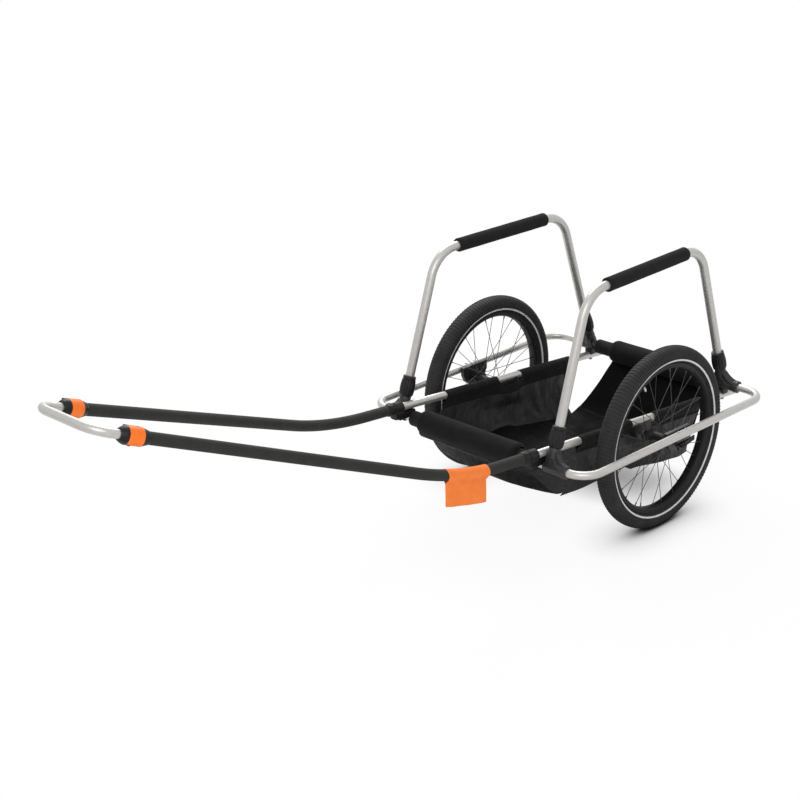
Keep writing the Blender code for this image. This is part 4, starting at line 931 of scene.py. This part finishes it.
class TrailerClamps(bpy.types.Operator):
    """Builds the barrel clamps on the poles' ends and their orange latches"""

    bl_idname = "trailer.clamps"
    bl_label = "Barrel clamps"
    bl_options = {"REGISTER", "UNDO"}

    def execute(self, context):
        size = sizes()
        wide = CLAMP_RADIUS
        first, last = LATCH_SPAN
        whole = CLAMP_LENGTH
        floor = wide - 0.0028
        hole = size.tube + 0.0014
        for side, name in SIDES:
            start, back, _, _ = clamp_frame(side)
            body = turned(start, back, [
                (0, hole), (0, 0.0138), (0.0012, 0.0148), (0.0040, 0.0166),
                (0.0085, 0.0190), (first - 0.0045, 0.0206), (first - 0.0010, 0.0213),
                (first - 0.0003, 0.0211), (first - 0.0003, floor), (last + 0.0003, floor),
                (last + 0.0003, 0.0204), (last + 0.0010, 0.0206), (whole - 0.0110, 0.0190),
                (whole - 0.0098, 0.0178), (whole - 0.0070, 0.0176), (whole - 0.0012, 0.0160),
                (whole, 0.0150), (whole, 0.0137), (whole / 2 - 0.0035, 0.0137),
                (whole / 2 - 0.0036, hole)], 56, hollow=True)
            skin = curved_plate(side, (first - 0.001, last + 0.001),
                                (floor - 0.002, wide - 0.0004), (LATCH_HINGE_ANGLE + 16, 303), 16)
            bevelled(skin, 0.0006, 2)
            hinge = clamp_point(side, 0, wide, LATCH_HINGE_ANGLE)
            pieces = [body, skin]
            for low, high in ((first - 0.001, first + 0.0092), (last - 0.0092, last + 0.001)):
                pieces.append(turned(hinge, back, [
                    (low, 0.0030), (low + 0.0005, 0.0036), (high - 0.0005, 0.0036),
                    (high, 0.0030)], 24))
            pieces.append(turned(hinge, back, [(first + 0.002, 0.0015),
                                               (last - 0.002, 0.0015)], 16))
            boss = clamp_point(side, (first + last) / 2, wide - 0.003, 250)
            centre = clamp_point(side, (first + last) / 2, 0, 0)
            pieces.append(turned(boss, (boss - centre).normalized(), [
                (0, 0.0052), (0.0045, 0.0052), (0.0062, 0.0042), (0.0068, 0.0028)], 24))
            dressed(joined(*pieces), name + "_clamp_barrel", name + "_drawbar", "plastic",
                    [name + "_clamp"])

            latch = curved_plate(side, (first, last), (wide - 0.0025, wide + 0.0002),
                                 (-50.0, 118.0), 28)
            bevelled(latch, 0.0007, 3)
            lip = curved_plate(side, (first + 0.004, last - 0.004),
                               (wide - 0.0012, wide + 0.0014), (-50.0, -40.0), 4)
            bevelled(lip, 0.0008, 3)
            ear = clamp_point(side, 0, wide - 0.00125, 112)
            reach = hinge - ear
            way = reach.normalized()
            arm = slab(ear, way, back.cross(way), [
                (0, -0.0012), (reach.length, -0.0011), (reach.length, 0.0011), (0, 0.0012)],
                first + 0.0101, last - 0.0101)
            knuckle = turned(hinge, back, [
                (first + 0.0096, 0.0030), (first + 0.0100, 0.0036), (last - 0.0100, 0.0036),
                (last - 0.0096, 0.0030)], 24)
            dressed(joined(latch, lip, arm, knuckle), name + "_clamp_latch",
                    name + "_clamp_lever", "latch", [name + "_clamp_lever"])
        return {"FINISHED"}


class TrailerTag(bpy.types.Operator):
    """Hangs the cloth tag from the left pole"""

    bl_idname = "trailer.tag"
    bl_label = "Cloth tag"
    bl_options = {"REGISTER", "UNDO"}

    def execute(self, context):
        size = sizes()
        hole = size.sleeve + 0.0010
        drop = size.tag_drop
        low = size.sleeve + drop

        seam = size.sleeve + 0.0085
        lean = math.acos(hole / seam)
        tangent = math.sqrt(seam * seam - hole * hole)
        fall = low - seam
        wrap = 2 * (math.pi - lean) * hole
        run = 2 * (fall + tangent) + wrap

        def place(across, down):
            middle, _, level = pole_ways(TAG_REAR_Y - TAG_LENGTH * across)
            at = down * run
            side = 1 if at < run / 2 else -1
            at = min(at, run - at)
            ripple = 0.0014 * math.sin(across * 7.0 + 0.6) + 0.0007 * math.sin(across * 17.0)
            if at < fall:
                sway = ripple * min(1.0, (fall - at) / 0.03)
                return middle - UP * (low - at) + level * (side * 0.00062 + sway)
            if at < fall + tangent:
                part = (at - fall) / tangent
                off = 0.00062 + (hole * math.sin(lean) - 0.00062) * part
                depth = seam + (hole * math.cos(lean) - seam) * part
                return middle - UP * depth + level * (side * off)
            turn = lean + (at - fall - tangent) / hole
            return middle + (level * (side * math.sin(turn)) - UP * math.cos(turn)) * hole
        tag = panel(60, 96, place)
        apply(tag, "SOLIDIFY", thickness=0.0009, offset=0.0)
        tag = dressed(tag, "cloth_tag", "left_drawbar", "tag", ["tag"], 60)

        stitches = []
        for number in range(34):
            middle, ahead, level = pole_ways(-0.6190 - 0.130 * number / 33)
            spot = middle - UP * (seam + 0.0015) - level * 0.0012
            stitches.append(turned(spot - ahead * 0.0014, ahead, [
                (0, 0.00018), (0.0006, 0.00034), (0.0022, 0.00034), (0.0028, 0.00018)], 6))
        dressed(joined(*stitches), "tag_stitches", "left_drawbar", "tag")
        return {"FINISHED"}


# Cloth bag

def between(table, value):
    """Reads a table of pairs at a value, with smooth steps between its entries."""
    if value <= table[0][0]:
        return table[0][1]
    for (first, low), (second, high) in zip(table, table[1:]):
        if value <= second:
            part = (value - first) / (second - first)
            part = part * part * (3 - 2 * part) * 0.5 + part * 0.5
            return low + (high - low) * part
    return table[-1][1]


SEAM = [(-0.30, -0.105), (-0.20, -0.112), (-0.10, -0.111), (-0.022, -0.110),
        (0.006, -0.124), (0.17, -0.150), (0.225, -0.157), (0.27, -0.152)]
TROUGH = [
    (-0.4200, 0.0050, 0.183), (-0.4080, -0.0110, 0.184), (-0.3660, -0.0330, 0.187),
    (-0.3420, -0.0580, 0.190), (-0.3180, -0.0860, 0.194), (-0.2980, -0.1010, 0.199),
    (-0.2700, -0.1040, 0.205), (-0.2300, -0.1050, 0.209), (-0.1400, -0.1030, 0.210),
    (-0.0350, -0.1020, 0.210), (0.0100, -0.1170, 0.210), (0.1000, -0.1340, 0.210),
    (0.1900, -0.1500, 0.210), (0.2400, -0.1520, 0.206), (0.2700, -0.1410, 0.202),
    (0.2960, -0.1210, 0.198), (0.3190, -0.0930, 0.194), (0.3420, -0.0620, 0.190),
    (0.3640, -0.0320, 0.187), (0.3870, -0.0080, 0.184), (0.4090, 0.0140, 0.183),
]


SEAM_X = 0.2115
HEM_BAND = 0.027
PANEL_DROP = 0.185
TROUGH_SAG = 0.020


def crease(x, y, z, seed):
    """Returns how far a crease lifts the cloth, at most about one."""
    spot = Vector((x * 9 + seed, y * 9, z * 9))
    broad = noise.noise(spot)
    fine = noise.noise(Vector((x * 26, y * 26 + seed, z * 16)))
    ridge = 1 - abs(noise.noise(Vector((x * 14, y * 17 + 5, z * 9 + seed)))) * 2.4
    return 0.5 * broad + 0.28 * fine + 0.35 * max(0.0, ridge)


def trough_place(across, down):
    """Returns a place on the cloth from the front roll under the load to the rear roll."""
    count = len(TROUGH) - 1
    spot = down * count
    index = min(int(spot), count - 1)
    part = spot - index
    points = [TROUGH[max(0, min(count, index + step))] for step in (-1, 0, 1, 2)]
    spots = []
    for axis in range(3):
        a, b, c, d = (point[axis] for point in points)
        spots.append(0.5 * (2 * b + (c - a) * part + (2 * a - 5 * b + 4 * c - d) * part ** 2
                            + (3 * b - a - 3 * c + d) * part ** 3))
    y, z, half = spots
    middle = 2 * across - 1
    aside = (y - 0.26) / 0.12 if middle < 0 else (-0.30 - y) / 0.10
    x = half * middle * (1 - 0.13 * eased(aside))
    belly = 1 - middle * middle
    deep = math.sin(math.pi * min(1.0, max(0.0, (down - 0.06) / 0.88))) ** 0.8
    z -= TROUGH_SAG * belly * deep
    if z < -0.08 and -0.28 < y < 0.28:
        z += 0.0035 * crease(x, y, 0.0, 2.0)
    elif y < 0:
        y += 0.004 * crease(x, 0.3, z, 7.0) * deep
        y -= 0.008 * belly * deep
    else:
        y += 0.004 * crease(x, 0.6, z, 4.0) * deep
        y += 0.006 * belly * deep
    return Vector((x, y, z))


def eased(value):
    """Returns a value between 0 and 1 with soft ends."""
    value = min(1.0, max(0.0, value))
    return value * value * (3 - 2 * value)


def round_bracket(x, y, z):
    """Returns how far out the cloth may lie where it passes the bracket and its nut."""
    aside = math.hypot(max(0.0, abs(y) - 0.038), max(0.0, -0.022 - z))
    x += (min(x, 0.2250) - x) * eased(1 - aside / 0.040)
    aside = max(0.0, math.hypot(y, z) - 0.014)
    return x + (min(x, 0.2135) - x) * eased(1 - aside / 0.045)


def side_place(side):
    """Returns the rule that places one side panel's cloth."""
    size = sizes()
    hole = size.tube + GAP + size.cloth * 0.6

    def place(across, down):
        wrap = math.pi * hole
        at = down * (HEM_BAND + wrap + PANEL_DROP)
        high_y = -0.257 + 0.536 * across
        low_y = -0.2930 + 0.555 * across
        hem = rail_point(high_y)
        seam = Vector((SEAM_X, low_y, between(SEAM, low_y)))
        lean = (seam - hem).normalized()
        if at < HEM_BAND:
            depth = hole * 0.2 + HEM_BAND - at
            near = max(0.0, 1 - depth / HEM_BAND)
            off = 0.0014 + hole * near ** 0.8
            spot = hem + lean * depth + RIGHT * off
        elif at < HEM_BAND + wrap:
            turn = (at - HEM_BAND) / wrap * math.pi
            spot = hem + RIGHT * (hole * math.cos(turn)) + UP * (hole * math.sin(turn))
        else:
            whole = (seam - hem).length
            depth = (at - HEM_BAND - wrap) / PANEL_DROP * whole
            near = max(0.0, 1 - depth / HEM_BAND)
            off = -hole * near ** 1.2 - 0.0006
            spot = hem + lean * depth + RIGHT * off
            level = min(1.0, max(0.0, (depth - HEM_BAND) / (whole - HEM_BAND)))
            bow = math.sin(math.pi * level)
            spot.x += 0.006 * bow
            drawn = 0.022 if side > 0 else -0.030
            spot.y += (drawn * (1 - across) ** 5 - 0.025 * across ** 5) * bow
            fade = min(1.0, level * 5) * min(1.0, (1 - level) * 6)
            fold = crease(0.2 * side, spot.y, spot.z, 1.0 if side > 0 else 6.0)
            spot.x += 0.0085 * fold * fade
            spot.x = round_bracket(spot.x, spot.y, spot.z)
        spot.x += 0.0006 * noise.noise(Vector((spot.y * 40, spot.z * 40, side)))
        return Vector((spot.x * side, spot.y, spot.z))
    return place


def notch_outline(front, rear, low, corner):
    """Returns the outline of a notch that is open at its top and round below."""
    outline = []
    for middle, first in ((front + corner, 180), (rear - corner, 270)):
        for step in range(9):
            turn = math.radians(first + 90 * step / 8)
            outline.append((middle + corner * math.cos(turn),
                            low + corner + corner * math.sin(turn)))
    return outline + [(rear, 0.09), (front, 0.09)]


class TrailerBag(bpy.types.Operator):
    """Sews the cloth bag: rolls round the foam, a sagging trough and side panels"""

    bl_idname = "trailer.bag"
    bl_label = "Cloth bag"
    bl_options = {"REGISTER", "UNDO"}

    def execute(self, context):
        size = sizes()
        wide = size.roll

        for name, y, seed, left, right in (("front", FRONT_BAR_Y, 1.0, 0.163, -0.187),
                                           ("rear", REAR_BAR_Y, 5.0, 0.186, -0.152)):
            def place(across, down, y=y, seed=seed, left=left, right=right):
                turn = 2 * math.pi * down
                x = right + (left - right) * across
                edge = min(across, 1 - across) * (left - right)
                swell = min(1.0, edge / 0.012) ** 0.5
                low = size.foam + 0.0009
                radius = low + (wide - low) * (0.30 + 0.70 * swell)
                over, lift = math.cos(turn), math.sin(turn)
                flow = noise.noise(Vector((x * 11, over * 1.4, lift * 1.4 + seed)))
                radius += 0.0009 * flow - 0.0006
                return Vector((x, y + radius * over, FRAME_HEIGHT + radius * lift))
            roll = edited(panel(96, 72, place), bpy.ops.mesh.remove_doubles,
                          threshold=0.00001)
            turned_out(roll, Vector((0, y, FRAME_HEIGHT)))
            apply(roll, "SOLIDIFY", thickness=size.cloth * 2, offset=-1.0)
            roll = dressed(roll, name + "_cloth_roll", "frame", "cloth",
                           ["bag"] if name == "front" else [], 60)

        trough = panel(110, 220, trough_place)
        turned_out(trough, Vector((0, 0, 0.3)))
        apply(trough, "SOLIDIFY", thickness=size.cloth, offset=0.0)
        # The trough's finish is darkened to paint the shade inside the bag.
        trough = dressed(trough, "bag_trough", "frame", "trough", [], 70)

        for side, name in SIDES:
            cloth = panel(240, 110, side_place(side))
            turned_out(cloth, Vector((0, 0, -0.05)))
            low = rail_point(0).z - 0.0170
            for inner_x, floor, corner in ((0.2430, low - 0.026, 0.022),
                                           (0.20, low + 0.0060, 0.0110)):
                outline = notch_outline(-0.044, 0.056, floor, corner)
                reach = sorted((side * 0.29, side * inner_x))
                cut(cloth, slab(Vector(), BACK, UP, outline, *reach))
            apply(cloth, "SOLIDIFY", thickness=size.cloth, offset=0.0)
            cloth = dressed(cloth, name + "_bag_panel", "frame", "lining", [], 60)
        return {"FINISHED"}


# Wheels

TYRE = [(0.0118, 0.2030), (0.0122, 0.2085), (0.0150, 0.2098), (0.0172, 0.2118),
        (0.0192, 0.2145), (0.0207, 0.2175), (0.0221, 0.2210), (0.0237, 0.2260),
        (0.0246, 0.2310), (0.0247, 0.2360), (0.0240, 0.2400), (0.0226, 0.2436),
        (0.0205, 0.2466), (0.0178, 0.2490), (0.0145, 0.2510), (0.0105, 0.2526),
        (0.0060, 0.2536), (0.0020, 0.2540)]


def round_axle(x, radius, turn):
    """Returns a place at a distance from the axle and a turn round it."""
    return Vector((x, radius * math.cos(turn), radius * math.sin(turn)))


def spun(piece, middle, count):
    """Repeats a sector round the axle and merges the seams."""
    edited(piece, bpy.ops.mesh.spin, steps=count, angle=2 * math.pi, dupli=True,
           center=middle, axis=RIGHT)
    return edited(piece, bpy.ops.mesh.remove_doubles, threshold=0.00002)


def tread_sector(middle, count, height):
    """Shapes one sector of the tyre with its tread blocks."""
    outline = both_ways(TYRE)
    rows = 6
    columns = len(outline) - 1
    scale = height / 0.254

    def place(across, down):
        index = min(int(across * columns + 0.5), columns)
        x, radius = outline[index]
        slant = 0.35 * (abs(x) / 0.025) * (1 if radius > 0.236 else 0)
        turn = 2 * math.pi / count * (down + slant)
        return middle + round_axle(x, radius * scale, turn)
    piece = panel(columns, rows, place)
    for number, face in enumerate(piece.data.polygons):
        row, column = divmod(number, columns)
        x = face.center.x - middle.x
        out = math.hypot(face.center.y, face.center.z)
        shoulder = 0.0125 < abs(x) < 0.0238 and out > 0.2405 * scale
        centre = abs(x) < 0.0070
        cross = row in ((0, 3) if abs(x) > 0.0162 else (1, 4))
        gutter = 0.0150 < abs(x) < 0.0172
        face.select = (shoulder and (cross or gutter)) or (
            centre and row == 5 and bool(column % 2))
    alone(piece)
    bpy.ops.object.mode_set(mode="EDIT")
    bpy.ops.mesh.select_mode(type="FACE")
    bpy.ops.object.mode_set(mode="OBJECT")
    bpy.ops.object.mode_set(mode="EDIT")
    bpy.ops.mesh.inset(thickness=0.0003, depth=-0.0011, use_individual=False,
                       use_even_offset=True)
    bpy.ops.mesh.select_mode(type="VERT")
    bpy.ops.object.mode_set(mode="OBJECT")
    return piece


class TrailerWheels(bpy.types.Operator):
    """Builds the wheels: tyres, bands, rims, hubs, spokes and valves"""

    bl_idname = "trailer.wheels"
    bl_label = "Wheels"
    bl_options = {"REGISTER", "UNDO"}

    def execute(self, context):
        size = sizes()
        middle = RIGHT * WHEEL_X
        sector = tread_sector(middle, size.treads, size.wheel)
        tyre = spun(sector, middle, size.treads)
        outwards(apply(tyre, "WELD", merge_threshold=0.00003))
        inner = turned(middle, RIGHT, both_ways([(-0.0118, 0.2028), (-0.0118, 0.2040)]), 96,
                       hollow=True)
        both(joined(tyre, inner), "tyre_casing", "SIDE_wheel", "rubber", ["SIDE_tyre"], 50)

        bands = [turned(middle, RIGHT * flank, [
            (0.0199, 0.2163), (0.0204, 0.2160), (0.0222, 0.2205), (0.0218, 0.2209)],
            192, hollow=True) for flank in (1, -1)]
        both(joined(*bands), "tyre_band", "SIDE_wheel", "band")

        well = [(-0.0150, 0.2090), (-0.0144, 0.2096), (-0.0125, 0.2096), (-0.0118, 0.2088),
                (-0.0115, 0.2030)]
        face = [(0.0152, 0.2070), (0.0148, 0.2064), (0.0148, 0.2010), (0.0152, 0.2003),
                (0.0140, 0.1985), (0.0095, 0.1955), (0.0060, 0.1946)]
        rim = turned(middle, RIGHT, both_ways(well) + both_ways(face), 144, hollow=True)
        both(rim, "wheel_rim", "SIDE_wheel", "black_metal", ["SIDE_rim"])

        hub = turned(middle, RIGHT, both_ways([
            (-0.0480, 0.0053), (-0.0480, 0.0085), (-0.0472, 0.0095), (-0.0440, 0.0098),
            (-0.0400, 0.0122), (-0.0330, 0.0135), (-0.0320, 0.0150), (-0.0318, 0.0214),
            (-0.0312, 0.0220), (-0.0288, 0.0220), (-0.0282, 0.0214), (-0.0278, 0.0160),
            (-0.0240, 0.0130), (-0.0120, 0.0118)]), 56, hollow=True)
        both(hub, "wheel_hub", "SIDE_wheel", "black_metal", ["SIDE_hub"])

        wires = []
        nipples = []
        holes = size.spokes // 2
        for flank in (1, -1):
            for lead in (1, -1):
                offset = (0.5 if flank < 0 else 0.0) + (0 if lead < 0 else 1)
                near = 2 * math.pi * offset / holes + SPOKE_PHASE
                far = near + lead * 4 * math.pi / holes
                hub_x = flank * (0.030 + lead * 0.0018)
                rim_x = flank * (0.0035 + lead * 0.0020)
                inner = middle + round_axle(hub_x, 0.0190, near)
                outer = middle + round_axle(rim_x, 0.1950, far)
                way = (outer - inner).normalized()
                span = (outer - inner).length
                head = turned(inner - RIGHT * (lead * flank * 0.0012), RIGHT * (lead * flank), [
                    (0, 0.0011), (0.0024, 0.0018), (0.0032, 0.0012)], 8)
                wire = turned(inner, way, [(0, size.spoke), (span, size.spoke)], 8)
                wires.append(spun(joined(wire, head), middle, holes // 2))
                nipple = turned(outer, -way, [
                    (-0.001, 0.0021), (0.0030, 0.0018), (0.0095, 0.0017), (0.0105, 0.0011)],
                    8)
                nipples.append(spun(nipple, middle, holes // 2))
        both(joined(*wires), "wheel_spokes", "SIDE_wheel", "wire")
        both(joined(*nipples), "spoke_nipples", "SIDE_wheel", "wire")

        for side, name in SIDES:
            way = VALVE_WAYS[side].normalized()
            valve = turned(middle * side + way * 0.2020, -way, [
                (0, 0.0024), (0.0100, 0.0024), (0.0102, 0.0042), (0.0118, 0.0042),
                (0.0120, 0.0026), (0.0215, 0.0026), (0.0220, 0.0036), (0.0230, 0.0039),
                (0.0320, 0.0037), (0.0335, 0.0030), (0.0340, 0.0014)], 24)
            dressed(valve, name + "_tyre_valve", name + "_wheel", "nickel", [name + "_valve"])
        return {"FINISHED"}


# Axles

def bracket_outline(reach, top, size=0.0230):
    """Returns a bracket's outline with a round bottom about the axle."""
    lower = max(reach - 0.020, size - 0.002)
    outline = [(-reach, top), (-reach, 0.016), (0.010 - reach, -0.004), (-lower, -0.0125)]
    for angle in range(217, 324, 8):
        turn = math.radians(angle)
        outline.append((size * math.cos(turn), size * math.sin(turn)))
    outline += [(lower, -0.0125), (reach - 0.010, -0.004), (reach, 0.016), (reach, top)]
    return outline


def axle_slot(x):
    """Returns the tools that cut the axle's slot, open at its foot."""
    start = Vector((x - 0.03, 0, 0))
    return (turned(start, RIGHT, [(0, 0.0053), (0.06, 0.0053)], 32),
            block((x - 0.031, -0.0051, -0.05), (x + 0.031, 0.0051, -0.0001)))


class TrailerAxles(bpy.types.Operator):
    """Builds the brackets, axles, nuts and quick levers"""

    bl_idname = "trailer.axles"
    bl_label = "Axles and brackets"
    bl_options = {"REGISTER", "UNDO"}

    def execute(self, context):
        size = sizes()
        outline = bracket_outline(0.050, FRAME_HEIGHT + size.tube)
        plate = slab(RIGHT * PLATE_X, BACK, UP, outline, -PLATE_HALF, PLATE_HALF)
        cut(plate, *axle_slot(PLATE_X))
        bevelled(plate, 0.0012, 3)
        saddle = block((PLATE_X + 0.001, -0.030, 0.0128),
                       (GUARD_X + 0.006, 0.030, FRAME_HEIGHT - 0.002))
        bevelled(saddle, 0.0012, 3)
        ribs = []
        for y in (-0.034, -0.019, 0.019, 0.034):
            rib = block((PLATE_X - 0.0070, y - 0.0012, -0.002),
                        (PLATE_X - 0.0050, y + 0.0012, FRAME_HEIGHT + 0.008))
            ribs.append(bevelled(rib, 0.0004, 2))
        both(joined(plate, saddle, *ribs), "guard_bracket", "frame", "casting",
             ["SIDE_outer_bracket"])

        rail = rail_point(0)
        outline = bracket_outline(0.036, rail.z - 0.002)
        cradle = slab(RIGHT * RAIL_X, BACK, UP, outline, -0.013, 0.013)
        cut(cradle, *axle_slot(RAIL_X))
        bevelled(cradle, 0.0014, 3)
        both(cradle, "rail_bracket", "frame", "casting", ["SIDE_inner_bracket"])

        inner_face = 0.2533
        outer_face = PLATE_X - PLATE_HALF - GAP
        hub_low, hub_high = WHEEL_X - HUB_HALF, WHEEL_X + HUB_HALF
        cup = PLATE_X + PLATE_HALF + GAP
        hinge_x = cup + 0.0110
        axle = turned(Vector(), RIGHT, [
            (0.2150, 0.0040), (0.2160, 0.0048), (inner_face, 0.0048), (inner_face, 0.0078),
            (inner_face + 0.0006, 0.0085), (hub_low - 0.0006, 0.0085), (hub_low, 0.0078),
            (hub_low, 0.0048), (hub_high, 0.0048), (hub_high, 0.0085), (outer_face, 0.0085),
            (outer_face, 0.0048), (cup - 0.0002, 0.0048)], 40)
        both(axle, "wheel_axle", "frame", "steel", ["SIDE_axle"])
        washer = turned(RIGHT * cup, RIGHT, [
            (0, 0.0100), (0.0006, 0.0105), (0.0025, 0.0105), (0.0038, 0.0090),
            (0.0040, 0.0040)], 40)
        way = round_axle(0, 1, LEVER_TILT)
        pin_way = round_axle(0, 1, LEVER_TILT + math.pi / 2)
        hinge = Vector((hinge_x, 0, 0))
        tongue = [(cup + 0.002 - hinge_x, -0.0058)]
        for angle in range(-90, 91, 15):
            turn = math.radians(angle)
            tongue.append((0.0058 * math.cos(turn), 0.0058 * math.sin(turn)))
        tongue.append((cup + 0.002 - hinge_x, 0.0058))
        eye = bevelled(slab(hinge, RIGHT, way, tongue, -0.0025, 0.0025), 0.0006, 2)
        both(joined(washer, eye), "axle_cup", "frame", "black_metal")

        nut = turned(Vector((0.2267, 0, 0)), -RIGHT, [
            (0, 0.0090), (0.0003, 0.0100), (0.0020, 0.0100), (0.0024, 0.0090),
            (0.0100, 0.0090), (0.0100, 0.0052)], 12)
        bevelled(nut, 0.0004, 2)
        both(nut, "axle_nut_piece", "frame", "steel", ["SIDE_axle_nut"])

        lever = slab(hinge, way, RIGHT, [
            (0, 0.0058), (0.016, 0.0056), (0.030, 0.0040), (0.044, 0.0022), (0.056, 0.0012),
            (0.0578, -0.0008), (0.0570, -0.0030), (0.044, -0.0024), (0.028, -0.0014),
            (0.016, -0.0008), (0, -0.0058)], -0.0070, 0.0070)
        bevelled(lever, 0.0012, 3)
        cut(lever, bevelled(slab(hinge, way, RIGHT, [
            (0.0130, 0.0090), (0.0520, 0.0090), (0.0520, 0.0004), (0.0440, 0.0009),
            (0.0300, 0.0027), (0.0180, 0.0041), (0.0130, 0.0046)], -0.0036, 0.0036),
            0.0012, 3))
        cut(lever, slab(hinge, RIGHT, way, [(-0.02, -0.02), (0.02, -0.02), (0.02, 0.0090),
                                            (-0.02, 0.0090)], -0.0029, 0.0029))
        head = turned(hinge - pin_way * 0.0072, pin_way, [
            (0.0004, 0.0058), (0.0010, 0.0066), (0.0042, 0.0066), (0.0043, 0.0030),
            (0.0101, 0.0030), (0.0102, 0.0066), (0.0134, 0.0066), (0.0140, 0.0058)], 40)
        both(joined(lever, head), "quick_lever_arm", "SIDE_quick_lever", "black_metal",
             ["SIDE_quick_lever"])
        return {"FINISHED"}


# Stage

class TrailerStage(bpy.types.Operator):
    """Sets up the floor with a painted contact shadow, the soft lamps and the camera"""

    bl_idname = "trailer.stage"
    bl_label = "Studio"
    bl_options = {"REGISTER", "UNDO"}

    def execute(self, context):
        scene = context.scene
        scene.view_settings.view_transform = "Standard"
        alone()
        bpy.ops.mesh.primitive_grid_add(x_subdivisions=8, y_subdivisions=8, size=24)
        floor = context.object
        floor.name = "studio_floor"
        finish = bpy.data.materials.new("studio floor")
        finish.use_nodes = True
        tree = finish.node_tree
        main = tree.nodes["Principled BSDF"]
        main.inputs["Roughness"].default_value = 0.9
        main.inputs["Specular IOR Level"].default_value = 0.0
        far = node(tree, "VectorMath", {0: node(tree, "TexCoord")["Object"]},
                   operation="LENGTH")["Value"]
        # Painted contact shadow: ambient occlusion darkens the floor's base colour near the
        # trailer and thins its white camera glow there.
        contact_shadow_ao = node(tree, "AmbientOcclusion", {"Distance": 0.13}, samples=16)["AO"]
        white = spread(tree, contact_shadow_ao, 0.05, 0.93, 0.40, 0.96)
        painted_shadow_tint = node(tree, "CombineXYZ", {0: white, 1: white, 2: white})
        tree.links.new(painted_shadow_tint[0], main.inputs["Base Color"])
        fade = reckon(tree, "MAXIMUM", spread(tree, far, 0.0, 1.0, 1.5, 2.6),
                      spread(tree, contact_shadow_ao, 0.0, 0.93, 0.30, 0.97))
        seen = reckon(tree, "MULTIPLY", node(tree, "LightPath")["Is Camera Ray"], fade)
        glow = node(tree, "Emission", {"Color": (1, 1, 1, 1)})
        shown = node(tree, "MixShader", {0: seen, 1: main.outputs[0], 2: glow[0]})
        tree.links.new(shown[0], tree.nodes["Material Output"].inputs["Surface"])
        floor.data.materials.append(finish)

        world = scene.world or bpy.data.worlds.new("studio")
        scene.world = world
        world.use_nodes = True
        tree = world.node_tree
        tree.nodes.clear()
        rays = node(tree, "LightPath")
        shown = reckon(tree, "MAXIMUM", rays["Is Camera Ray"], rays["Is Transmission Ray"])
        shown = reckon(tree, "MAXIMUM", shown, rays["Is Glossy Ray"])
        soft, white = (node(tree, "Background", {"Color": (1, 1, 1, 1), "Strength": power})
                       for power in (0.62, 1.0))
        sky = node(tree, "MixShader", {0: shown, 1: soft[0], 2: white[0]})
        node(tree, "OutputWorld", {"Surface": sky[0]})

        for name, place, power, width in (
                ("key lamp", (-2.6, 2.2, 3.6), 142.0, 2.6),
                ("fill lamp", (2.8, -3.0, 3.2), 76.0, 3.2)):
            bpy.ops.object.light_add(type="AREA", location=place)
            lamp = context.object
            lamp.name = name
            lamp.data.energy = power
            lamp.data.size = width
            aim = Vector((0, 0, 0.25)) - Vector(place)
            lamp.rotation_euler = aim.to_track_quat("-Z", "Y").to_euler()

        yaw, pitch, roll = (math.radians(angle) for angle in (45.1818, -21.6976, -0.9955))
        back = Vector((math.sin(yaw) * math.cos(pitch), -math.cos(yaw) * math.cos(pitch),
                       -math.sin(pitch)))
        right = Vector((math.cos(yaw), math.sin(yaw), 0))
        up = back.cross(right)
        side = right * math.cos(roll) + up * math.sin(roll)
        head = up * math.cos(roll) - right * math.sin(roll)
        bpy.ops.object.camera_add(location=(3.0705, -3.1200, 2.2084))
        camera = context.object
        camera.matrix_world = Matrix.Translation(camera.location) @ Matrix(
            (side, head, back)).transposed().to_4x4()
        camera.data.lens = 83.80
        camera.data.sensor_width = 36.0
        camera.data.shift_x = 0.0078
        camera.data.shift_y = -0.0015
        scene.camera = camera
        return {"FINISHED"}


STEPS = (TrailerStage, TrailerTubes, TrailerFoam, TrailerCastings, TrailerTees,
         TrailerPoles, TrailerClamps, TrailerTag, TrailerBag, TrailerWheels, TrailerAxles)


class TrailerPanel(bpy.types.Panel):
    """Lists the trailer's steps, sizes and colours"""

    bl_idname = "VIEW3D_PT_trailer"
    bl_label = "Cargo trailer"
    bl_space_type = "VIEW_3D"
    bl_region_type = "UI"
    bl_category = "Trailer"

    def draw(self, context):
        for group in (context.scene.trailer_sizes, context.scene.trailer_colours):
            box = self.layout.box()
            for key in group.__annotations__:
                box.prop(group, key)
        for step in STEPS:
            self.layout.operator(step.bl_idname)


CLASSES = (TrailerSizes, TrailerColours, *STEPS, TrailerPanel)


def register():
    """Adds the trailer's steps, sizes and panel to Blender."""
    for one in CLASSES:
        bpy.utils.register_class(one)
    bpy.types.Scene.trailer_sizes = PointerProperty(type=TrailerSizes)
    bpy.types.Scene.trailer_colours = PointerProperty(type=TrailerColours)


def unregister():
    """Takes the trailer's steps, sizes and panel out of Blender."""
    del bpy.types.Scene.trailer_colours
    del bpy.types.Scene.trailer_sizes
    for one in reversed(CLASSES):
        bpy.utils.unregister_class(one)


def main():
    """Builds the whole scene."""
    register()
    bpy.ops.trailer.stage()
    bpy.ops.trailer.tubes()
    bpy.ops.trailer.foam()
    bpy.ops.trailer.castings()
    bpy.ops.trailer.tees()
    bpy.ops.trailer.poles()
    bpy.ops.trailer.clamps()
    bpy.ops.trailer.tag()
    bpy.ops.trailer.bag()
    bpy.ops.trailer.wheels()
    bpy.ops.trailer.axles()
    alone()
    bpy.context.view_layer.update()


if __name__ == "__main__":
    main()
